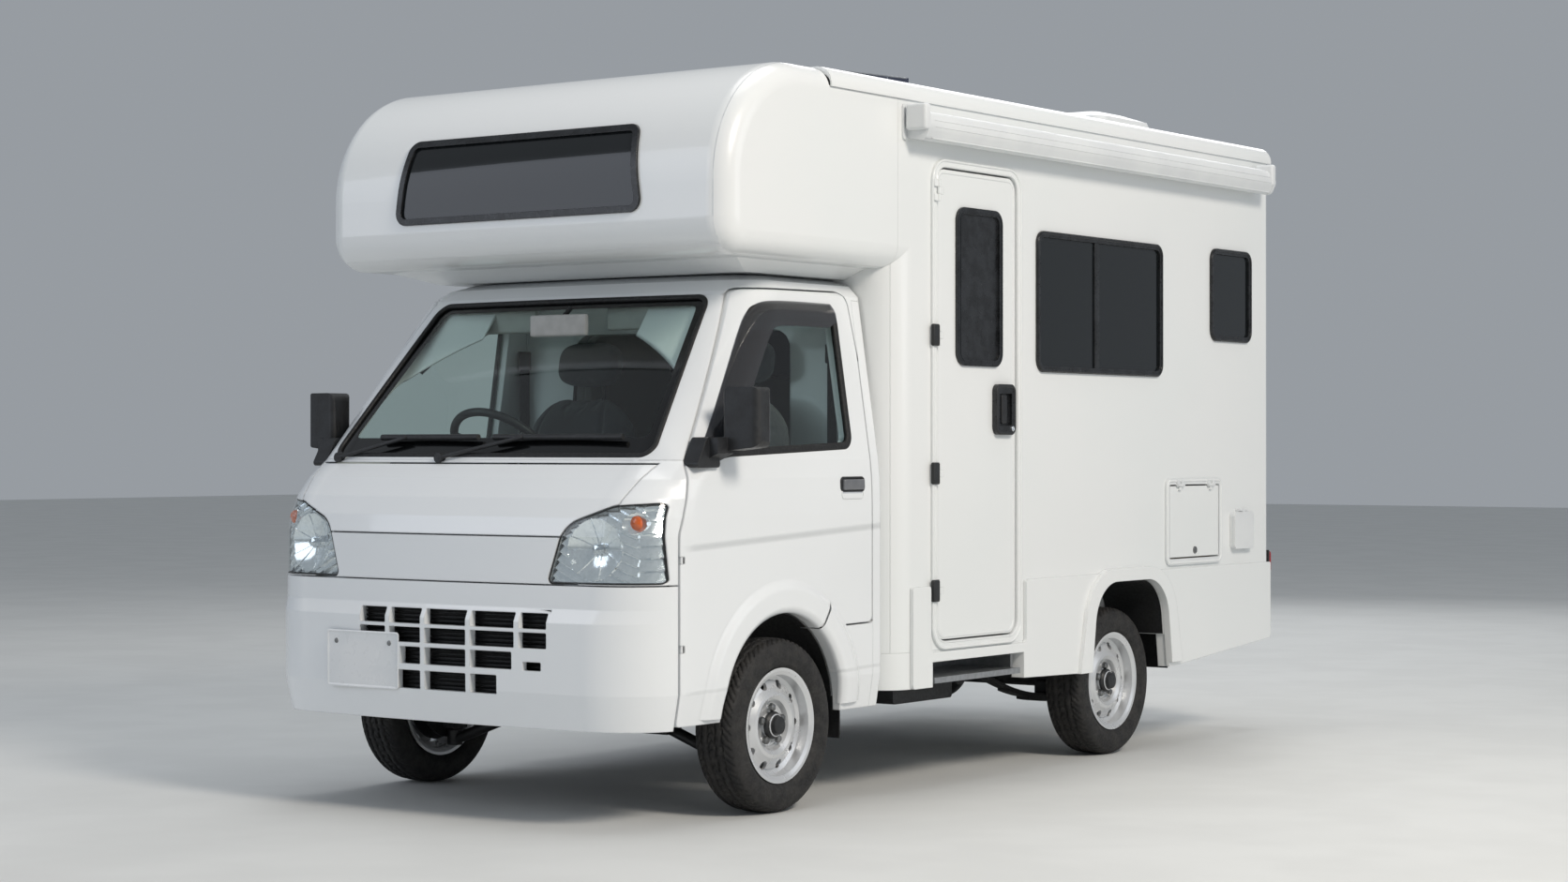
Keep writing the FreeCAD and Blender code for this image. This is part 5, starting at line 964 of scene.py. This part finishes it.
mirrorValues = {"y": -0.2465, "outline": (0.772, 0.862, 1.062, 1.210, 0.016), "thickness": 0.003}
mirrorY = frontAxleY + mirrorValues["y"]
makePair("mirror_glass_{side}", *plateEdge(roundedOutline(rectangle(*mirrorValues["outline"]), 0.003),
                                           lambda q: np.stack([q[:, 0], np.full(len(q), mirrorY), q[:, 1]], -1),
                                           (0, mirrorValues["thickness"], 0)),
         "mirror_glass", "cab_door_{side}", smooth=False)


# Camper shell: mouldings round the entry door, window frames, locks, awning ribs
def onSide(corners, out, profile):
    # a profile carried round a (Y, Z) outline on the shell's flat side
    uv = roundedOutline(corners, 0.005)
    path = np.stack([np.full(len(uv), shellX + out), uv[:, 0], uv[:, 1]], -1)
    return sweep(path, np.broadcast_to(np.array([1.0, 0, 0]), path.shape), profile)


def sideSpan(y0, y1, z0, z1, radius):
    # a rounded rectangle on the side, its Y measured from the front axle
    return rectangle(frontAxleY + y0, frontAxleY + y1, z0, z1, radius)


entryFrame = sideSpan(0.711, 1.242, 0.430, 1.950, 0.075)
entryWindow = sideSpan(0.853, 1.125, 1.312, 1.809, 0.045)
mainWindow = sideSpan(1.341, 2.195, 1.302, 1.764, 0.042)
smallWindow = sideSpan(2.561, 2.880, 1.440, 1.775, 0.042)
hatchOutline = sideSpan(2.222, 2.644, 0.640, 0.946, 0.030)


def makeShellMouldings():
    # beads round the entry door's frame, on its leaf and round the hatch
    parts = Parts()
    for outline, inset, out, profile in ((entryFrame, -0.004, 0.006, bead(0.009, 0.005)),
                                         (entryFrame, -0.022, 0.006, bead(0.006, 0.003)),
                                         (hatchOutline, -0.008, 0.007, bead(0.010, 0.004))):
        parts.add(*onSide(grownOutline(outline, inset), out, profile))
    parts.build("shell_mouldings", "white_gel_coat", angle=50)
    makeMesh("entry_door_moulding", *onSide(grownOutline(entryFrame, -0.040), -0.001, bead(0.010, 0.0035)),
             "white_gel_coat", "entry_door", angle=50)


makeShellMouldings()


# the divider's two bars as (Y from the front axle, Y, out)
dividerValues = {"z": (1.312, 1.754), "bars": ((1.720, 1.744, 0.006), (1.738, 1.756, 0.003))}


def makeWindowTrim():
    # dark frames round and behind the glass and the sliding window's divider; the small window is on the left only
    frames, inner = Parts(), Parts()
    for outline, mirrored in ((mainWindow, True), (smallWindow, False)):
        for parts, inset, out, profile in ((frames, -0.006, 0.0075, bead(0.010, 0.004)),
                                           (inner, -0.026, -0.005, band(0.012, 0.004))):
            (parts.addPair if mirrored else parts.add)(*onSide(grownOutline(outline, inset), out, profile))
    low, high = dividerValues["z"]
    for y0, y1, out in dividerValues["bars"]:
        frames.addPair(*softBlock((shellX - 0.002, frontAxleY + y0, low), (shellX + out, frontAxleY + y1, high), 0.002))
    frames.build("window_trim", "window_frame_black", angle=40)
    inner.build("window_inner_frames", "window_frame_black", angle=40)


makeWindowTrim()

# Entry door's recessed pull as a span on the side, and both locks: name, body, material, place as
# (out, Y from the front axle, Z), turned profile and count
entryPull = (1.072, 1.190, 1.096, 1.258)
lockTable = [
    ("entry_lock", "entry_door", "lamp_chrome", (0.015, 1.170, 1.116),
     [(0.0, 0.0), (0.0, 0.009), (0.004, 0.0085), (0.005, 0.006), (0.003, 0.0)], 24),
    ("hatch_lock", "hatch_lid", "dull_steel", (0.006, 2.435, 0.690),
     [(0.0, 0.0), (0.0, 0.013), (0.004, 0.012), (0.006, 0.008), (0.005, 0.0)], 28),
]
hingeValues = {"y": 0.724, "z": (0.614, 0.976, 1.403), "halfHeight": 0.034}


def makeEntryTrim():
    # the recessed pull's rim with its lever, the locks and black caps over the three hinges
    pull = sideSpan(*entryPull, 0.025)
    y0, z0, z1 = pull[0][0], entryPull[2], entryPull[3]
    parts = Parts()
    parts.add(*onSide(grownOutline(pull, -0.006), 0.015, bead(0.012, 0.004)))
    parts.add(*softBlock((shellX + 0.006, y0 + 0.030, z0 + 0.036), (shellX + 0.019, y0 + 0.062, z1 - 0.034), 0.005))
    parts.build("entry_handle_trim", "black_plastic", "entry_door", angle=40)
    for name, body, material, place, profile, count in lockTable:
        head, faces = turnedShape(profile, count)
        makeMesh(name, head + np.array([shellX, frontAxleY, 0.0]) + np.array(place), faces, material, body, angle=30,
                 slot="steel")
    covers = Parts()
    y, half = frontAxleY + hingeValues["y"], hingeValues["halfHeight"]
    for z in hingeValues["z"]:
        covers.add(*softBlock((shellX + 0.004, y - 0.020, z - half), (shellX + 0.0185, y + 0.022, z + half), 0.006))
    covers.build("entry_hinge_covers", "black_plastic", angle=45)


makeEntryTrim()
makeMesh("entry_window_pane", *plateEdge(roundedOutline(grownOutline(entryWindow, -0.014), 0.006),
                                         lambda q: np.stack([np.full(len(q), shellX + 0.0125), q[:, 0], q[:, 1]], -1),
                                         (0.002, 0, 0)),
         "smoked_glass", "entry_door", smooth=False, towards=(1, 0, 0))

# Awning: ribs as (X, Z, width, height) along the case, and the size of its end caps
awningValues = {"ribs": ((0.8585, 2.030, 0.004, 0.0025), (0.8560, 2.050, 0.003, 0.002), (0.8450, 1.996, 0.005, 0.003)),
                "ribsY": (0.610, 2.895), "capLength": 0.033, "capPast": 0.003}


def makeAwningTrim():
    # long ribs on the awning's case and a rounded cap over each of its ends
    v = awningValues
    y = np.linspace(*(frontAxleY + q for q in v["ribsY"]), 30)
    ribs, caps = Parts(), Parts()
    for x, z, width, height in v["ribs"]:
        path = np.stack([np.full(30, x), y, np.full(30, z)], -1)
        normals = np.broadcast_to(np.array([1.0, 0, 0]), path.shape)
        ribs.add(*sweep(path, normals, bead(width, height, 0.006), closedPath=False))
    ribs.build("awning_ribs", "white_plastic", angle=40)
    low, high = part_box("awning")
    for y0 in (low[1] - v["capPast"], high[1] + v["capPast"] - v["capLength"]):
        caps.add(*softBlock((high[0] - 0.074, y0, high[2] - 0.082), (high[0] + 0.001, y0 + v["capLength"],
                                                                     high[2] - 0.002), 0.010))
    caps.build("awning_end_caps", "white_plastic", angle=50)


makeAwningTrim()


solarFrameValues = {"inset": 0.010, "corner": 0.004, "startZ": 0.0185, "rise": 0.026, "width": 0.022, "height": 0.0022}


def makeSolarFrame():
    # a bright strip round the cells that rises to the rear with the panel
    v = solarFrameValues
    low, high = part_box("solar_panel")
    uv = roundedOutline(rectangle(low[0] + v["inset"], high[0] - v["inset"], low[1] + v["inset"], high[1] - v["inset"],
                                  v["corner"]), 0.02)
    top = low[2] + v["startZ"] + v["rise"] / (high[1] - low[1]) * (uv[:, 1] - low[1])
    path = np.stack([uv[:, 0], uv[:, 1], top], -1)
    makeMesh("solar_frame", *sweep(path, np.broadcast_to(np.array([0.0, 0.0, 1.0]), path.shape),
                                   band(v["width"], v["height"])), "brushed_aluminium", angle=40)


makeSolarFrame()
print("shell done")


# Cab interior: padded seats, sun visors, inner mirror and belts
def cushionMesh(size, crown, count=28, power=4.0):
    # a closed pillow: a rounded box whose faces swell in the middle and draw in between the corners
    a = np.linspace(-1, 1, count)
    u, v = np.meshgrid(a, a, indexing="ij")
    quads = gridFaces(count, count)
    verts, faces = [], []
    for axis in range(3):
        for sign in (-1, 1):
            p = np.zeros(u.shape + (3,))
            p[..., axis] = sign
            p[..., (axis + 1) % 3] = u
            p[..., (axis + 2) % 3] = v * sign
            faces.append(quads + len(verts) * u.size)
            verts.append(p.reshape(-1, 3))
    cube = np.concatenate(verts)
    length = (np.abs(cube) ** power).sum(axis=1, keepdims=True) ** (1 / power)
    shape = cube / length
    swell = np.stack([(1 - shape[:, (k + 1) % 3] ** 2) * (1 - shape[:, (k + 2) % 3] ** 2) for k in range(3)], -1)
    shape = shape * (1 + np.asarray(crown) * swell)
    return shape * np.asarray(size) / 2, np.concatenate(faces)


def turnX(verts, angle):
    # points turned about the X axis
    c, s = math.cos(angle), math.sin(angle)
    return np.stack([verts[:, 0], verts[:, 1] * c - verts[:, 2] * s, verts[:, 1] * s + verts[:, 2] * c], -1)


# The seats: sizes in metres, the pressure of the inflation, the furthest that it moves a point, and
# each pad's place as (Y from the front axle, Z, lean)
seatValues = {"x": 0.300, "cushion": (0.455, 0.395, 0.128), "back": (0.430, 0.104, 0.470),
              "rest": (0.240, 0.080, 0.140), "voxel": 0.006, "pressure": 4.0, "cap": 0.024, "frames": 20,
              "channelAt": 0.62, "channelWidth": 0.03, "channelDepth": 0.007,
              "base": np.array([(-0.20, -0.09, 0.617), (0.20, 0.24, 0.650)]),
              "posts": np.array([[(x, 0.361, 1.19), (x, 0.373, 1.30)] for x in (-0.06, 0.06)]),
              "places": {"cushion": (0.062, 0.690, math.radians(-3)), "back": (0.313, 0.990, math.radians(-10)),
                         "rest": (0.371, 1.320, math.radians(-10))}}


def remeshed(verts, faces, voxel):
    # an even closed skin over the shape, as arrays
    mesh = bpy.data.meshes.new("padding")
    mesh.from_pydata(verts.tolist(), [], faces.tolist())
    obj = bpy.data.objects.new("padding", mesh)
    bpy.context.scene.collection.objects.link(obj)
    weld = obj.modifiers.new("weld", "WELD")
    weld.merge_threshold = 0.0004
    remesh = obj.modifiers.new("remesh", "REMESH")
    remesh.mode, remesh.voxel_size = "VOXEL", voxel
    done = bpy.data.meshes.new_from_object(obj.evaluated_get(bpy.context.evaluated_depsgraph_get()))
    obj.modifiers.clear()
    obj.data = done
    return obj


def coordsOf(mesh):
    # the mesh's points as an array
    flat = np.empty(len(mesh.vertices) * 3, dtype=np.float64)
    mesh.vertices.foreach_get("co", flat)
    return flat.reshape(-1, 3)


def puffed(verts, faces):
    # inflate a pad by cloth pressure for a few frames; no point moves further than the cap:
    # moved = cap * tanh(motion / cap)
    v = seatValues
    scene = bpy.context.scene
    obj = remeshed(verts, faces, v["voxel"])
    start = coordsOf(obj.data)
    quads = np.array([polygon.vertices[:] for polygon in obj.data.polygons])
    cloth = obj.modifiers.new("cloth", "CLOTH")
    settings = cloth.settings
    settings.use_pressure, settings.uniform_pressure_force = True, v["pressure"]
    settings.effector_weights.gravity = 0
    cloth.point_cache.frame_end = v["frames"]
    for number in range(1, v["frames"] + 1):
        scene.frame_set(number)
    evaluated = obj.evaluated_get(bpy.context.evaluated_depsgraph_get())
    motion = coordsOf(evaluated.data) - start
    scene.frame_set(1)
    length = np.maximum(np.linalg.norm(motion, axis=1, keepdims=True), 1e-9)
    start = start + motion / length * v["cap"] * np.tanh(length / v["cap"])
    bpy.data.objects.remove(obj)
    return start, quads


def makeSeats():
    # each pad is inflated once and its two sewn channels are pressed in: depth * exp(-(distance / width)^2)
    v = seatValues
    made = {}
    for name, verts, faces in (("cushion", *cushionMesh(v["cushion"], (0.0, 0.03, 0.10))),
                               ("back", *cushionMesh(v["back"], (0.0, 0.16, 0.0))),
                               ("rest", *cushionMesh(v["rest"], (0.0, 0.10, 0.0), 20, 3.2))):
        verts, faces = puffed(verts, faces)
        across = np.abs(verts[:, 0]) / (v[name][0] / 2)
        groove = v["channelDepth"] * np.exp(-((across - v["channelAt"]) / v["channelWidth"]) ** 2)
        if name == "cushion":
            verts[:, 2] -= groove * smoothstep(0.02, 0.04, verts[:, 2])
        elif name == "back":
            verts[:, 1] += groove * smoothstep(0.015, 0.035, -verts[:, 1])
            # shoulders slope in towards the head rest
            verts[:, 0] *= 1 - 0.30 * smoothstep(0.06, 0.26, verts[:, 2]) ** 1.5
        made[name] = (verts, faces)
    for label, x in (("left", v["x"]), ("right", -v["x"])):
        for name, (y, z, lean) in v["places"].items():
            verts, faces = made[name]
            pad = makeMesh("seat_%s_%s" % (name, label), turnX(verts, lean) + np.array([x, frontAxleY + y, z]), faces,
                           "seat_cloth")
            smoother = pad.modifiers.new("smoother", "SUBSURF")
            smoother.levels = smoother.render_levels = 1
            if pad.name == "seat_cushion_left":
                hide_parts("cab_seats")
        parts = Parts()
        at = np.array([x, frontAxleY, 0.0])
        parts.add(*softBlock(*(at + corner for corner in v["base"]), 0.01))
        for post in v["posts"]:
            parts.add(*tube([at + point for point in post], 0.006))
        parts.build("seat_frame_" + label, "black_plastic", angle=40)


makeSeats()
print("seats done")


# Corners of blocks, points of bars and radii; visors and belts have a mirror image
interiorValues = {"visor": ((0.14, frontAxleY - 0.085, 1.405), (0.46, frontAxleY - 0.060, 1.475)),
                  "mirror": ((-0.038, -1.420, 1.385), (0.180, -1.402, 1.449)),
                  "arm": (((0.071, -1.405, 1.43), (0.071, -1.360, 1.470)), 0.008),
                  "grab": (((-0.590, -1.300, 1.290), (-0.570, -1.290, 1.310), (-0.560, -1.250, 1.350),
                            (-0.578, -1.215, 1.385)), 0.009),
                  "beltX": 0.615, "beltY": -0.765}


def makeInterior():
    # sun visors, the inner mirror on its arm, a grab handle on the far windscreen pillar and the belts
    v = interiorValues
    visors, bars, belts = Parts(), Parts(), Parts()
    visors.addPair(*softBlock(*v["visor"], 0.008))
    visors.build("sun_visors", "trim_grey", angle=50)
    makeMesh("inner_mirror", *softBlock(*v["mirror"], 0.008), "trim_grey", angle=50)
    bars.add(*tube(*v["arm"]))
    bars.add(*tube(*v["grab"]))
    bars.build("mirror_arm_and_grab_handle", "black_plastic")
    y = v["beltY"]
    for x in (-v["beltX"], v["beltX"]):
        belts.add(*softBlock((x - 0.012, y - 0.024, 0.66), (x - 0.009, y + 0.024, 1.33), 0.0012))
        belts.add(*softBlock((x - 0.018, y - 0.030, 1.31), (x - 0.004, y + 0.030, 1.37), 0.006))
    belts.build("seat_belts", "seal_rubber", angle=50)


makeInterior()
print("interior done")


# Painted shade inside the wheel openings: near-black thin skins just clear of the pressings' inner faces
archShadeValues = {"front": 0.3035, "door": 0.2925, "frontX": (0.412, 0.656), "doorX": (0.664, 0.694),
               "rearTop": 0.5965, "rearCorner": 0.147, "rearHalf": (0.3185, 0.2365), "rearX": (0.548, 0.772)}


def sheet(line, xs):
    # a skin between two X values along a bent line of (Y, Z) points
    x = np.array(xs)[None, :]
    grid = np.stack([x + 0 * line[:, :1], line[:, :1] + 0 * x, line[:, 1:] + 0 * x], -1)
    return grid.reshape(-1, 3), gridFaces(len(line), x.size)


def arcShadeSkin(radius, xs, a0, a1):
    # a skin round the front wheel's opening between two angles from straight up
    t = np.radians(np.linspace(a0, a1, 40))
    return sheet(np.stack([frontAxleY + radius * np.sin(t), 0.285 + radius * np.cos(t)], -1), xs)


def makeArchShade():
    # the doors carry their stretch of the front shade skins; the rear ones go up the front slope, over the top and down
    # behind, inside the shell's wheel box
    v = archShadeValues
    fixed = Parts()
    fixed.addPair(*arcShadeSkin(v["front"], v["frontX"], -80, 80))
    fixed.addPair(*arcShadeSkin(v["door"], v["doorX"], 35.5, 84))
    foot, shoulder = v["rearHalf"]
    top, corner = v["rearTop"], v["rearCorner"]
    ring = roundedOutline([(rearAxleY - foot, 0.0, 0.0), (rearAxleY + foot, 0.0, 0.0),
                           (rearAxleY + shoulder, top, corner), (rearAxleY - shoulder, top, corner)], 0.01)
    line = ring[np.argsort(np.arctan2(ring[:, 1] - 0.2, rearAxleY - ring[:, 0]))]
    fixed.addPair(*sheet(line[line[:, 1] > 0.37], v["rearX"]))
    fixed.build("wheelhouse_liners", "seal_rubber", angle=60)
    makePair("door_arch_liner_{side}", *arcShadeSkin(v["door"], v["doorX"], -70, 34), "seal_rubber", "cab_door_{side}",
             angle=60)


makeArchShade()


# Rear: blank plate in its frame, lamp divisions and the lamps' dark bases, as spans along X and Z
rearValues = {"plate": (0.0, 0.690), "amber": (0.700, 0.764), "clear": (0.556, 0.600), "lampZ": (0.598, 0.660),
              "base": (0.541, 0.774), "baseZ": (0.586, 0.672)}


def makeRearTrim():
    # blocks on both sides, thin along Y: the divisions on the lamps' faces, the bases on the wall
    v = rearValues
    makePlate("rear_plate", v["plate"], shellRearY, 1)
    outline = plateOutline(v["plate"], 0.0, 0.010, 0.003)
    path = np.stack([outline[:, 0], np.full(len(outline), shellRearY), outline[:, 1]], -1)
    makeMesh("rear_plate_frame", *sweep(path, np.tile(np.array([0.0, 1.0, 0.0]), (len(path), 1)),
                                        bead(0.009, 0.0045, 0.002)), "black_plastic", angle=40)
    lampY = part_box("tail_lamps")[1][1]
    for name, material, (x0, x1), (z0, z1), y0, y1, radius in (
            ("tail_lamp_bases", "black_plastic", v["base"], v["baseZ"], shellRearY - 0.001, shellRearY + 0.006, 0.002),
            ("tail_lamp_amber", "amber_lens", v["amber"], v["lampZ"], lampY - 0.004, lampY + 0.002, 0.0018),
            ("tail_lamp_clear", "plate_blank", v["clear"], v["lampZ"], lampY - 0.004, lampY + 0.002, 0.0018)):
        parts = Parts()
        parts.addPair(*softBlock((x0, y0, z0), (x1, y1, z1), radius))
        parts.build(name, material, angle=40)


makeRearTrim()
print("rear done")


# Camera at the photograph's place and angle, plain floor and soft light
cameraValues = {"place": (5.553, -7.867, 1.059), "azimuth": 35.83, "pitch": -0.11, "lens": 65.52, "sensor": 36.0,
                "clipEnd": 200.0}
stageValues = {"halfSize": 40.0, "floor": "#d9dad8", "floorOther": "#d5d6d4", "lookAt": (0, 0, 1.0),
               "sky": "#dfe6ee", "skyStrength": 0.42}


def added(name, data, place, look):
    # an object at a place whose view or light goes along a direction
    obj = bpy.data.objects.new(name, data)
    bpy.context.scene.collection.objects.link(obj)
    obj.location = place
    obj.rotation_mode = "QUATERNION"
    obj.rotation_quaternion = look.to_track_quat("-Z", "Y")
    return obj


def makeCamera():
    # looks along the azimuth from +Y, tipped by the pitch
    v = cameraValues
    azimuth, pitch = math.radians(v["azimuth"]), math.radians(v["pitch"])
    forward = Vector((-math.sin(azimuth) * math.cos(pitch), math.cos(azimuth) * math.cos(pitch), -math.sin(pitch)))
    camera = added("camera", bpy.data.cameras.new("camera"), v["place"], forward)
    camera.data.sensor_width, camera.data.lens, camera.data.clip_end = v["sensor"], v["lens"], v["clipEnd"]
    bpy.context.scene.camera = camera


lightTable = [
    # name, place, size, power, colour: key high on the left front, fill, rim and top
    ("key", (8.0, -3.0, 6.5), 2.5, 560.0, "#fff6ea"),
    ("fill", (-5.0, -9.0, 4.0), 6.0, 150.0, "#eaf1ff"),
    ("side", (9.0, 3.0, 3.5), 5.0, 60.0, "#f4f8ff"),
    ("top", (0.0, 0.5, 8.5), 6.0, 170.0, "#ffffff"),
    ("back", (-3.0, 8.5, 5.0), 5.0, 140.0, "#ffffff"),
]


def makeStage():
    # a wide square floor, round area lights that look at the vehicle's middle and an even sky
    v = stageValues
    size = v["halfSize"]
    tree, shader, coords = startMaterial("pale_floor", v["floor"], 0.75)
    finishSurface(tree, shader, coords, (v["floor"], v["floorOther"]), 0.5, (0.7, 0.8),
                  [(noise(tree, coords, 0.006, 3.0), 0.0003)])
    mesh = bpy.data.meshes.new("floor")
    mesh.from_pydata([(-size, -size, 0), (size, -size, 0), (size, size, 0), (-size, size, 0)], [], [(0, 1, 2, 3)])
    mesh.materials.append(materials["pale_floor"])
    floor = bpy.data.objects.new("floor", mesh)
    bpy.context.scene.collection.objects.link(floor)
    for name, place, size, power, colour in lightTable:
        light = bpy.data.lights.new(name, "AREA")
        light.shape = "DISK"
        light.size, light.energy, light.color = size, power, linear(colour)[:3]
        added(name, light, place, Vector(v["lookAt"]) - Vector(place))
    world = bpy.data.worlds.new("studio")
    bpy.context.scene.world = world
    world.use_nodes = True
    back = world.node_tree.nodes["Background"]
    back.inputs["Color"].default_value = linear(v["sky"])
    back.inputs["Strength"].default_value = v["skyStrength"]
    bpy.context.scene.view_settings.view_transform = "Standard"


makeCamera()
makeStage()

print("scene done")
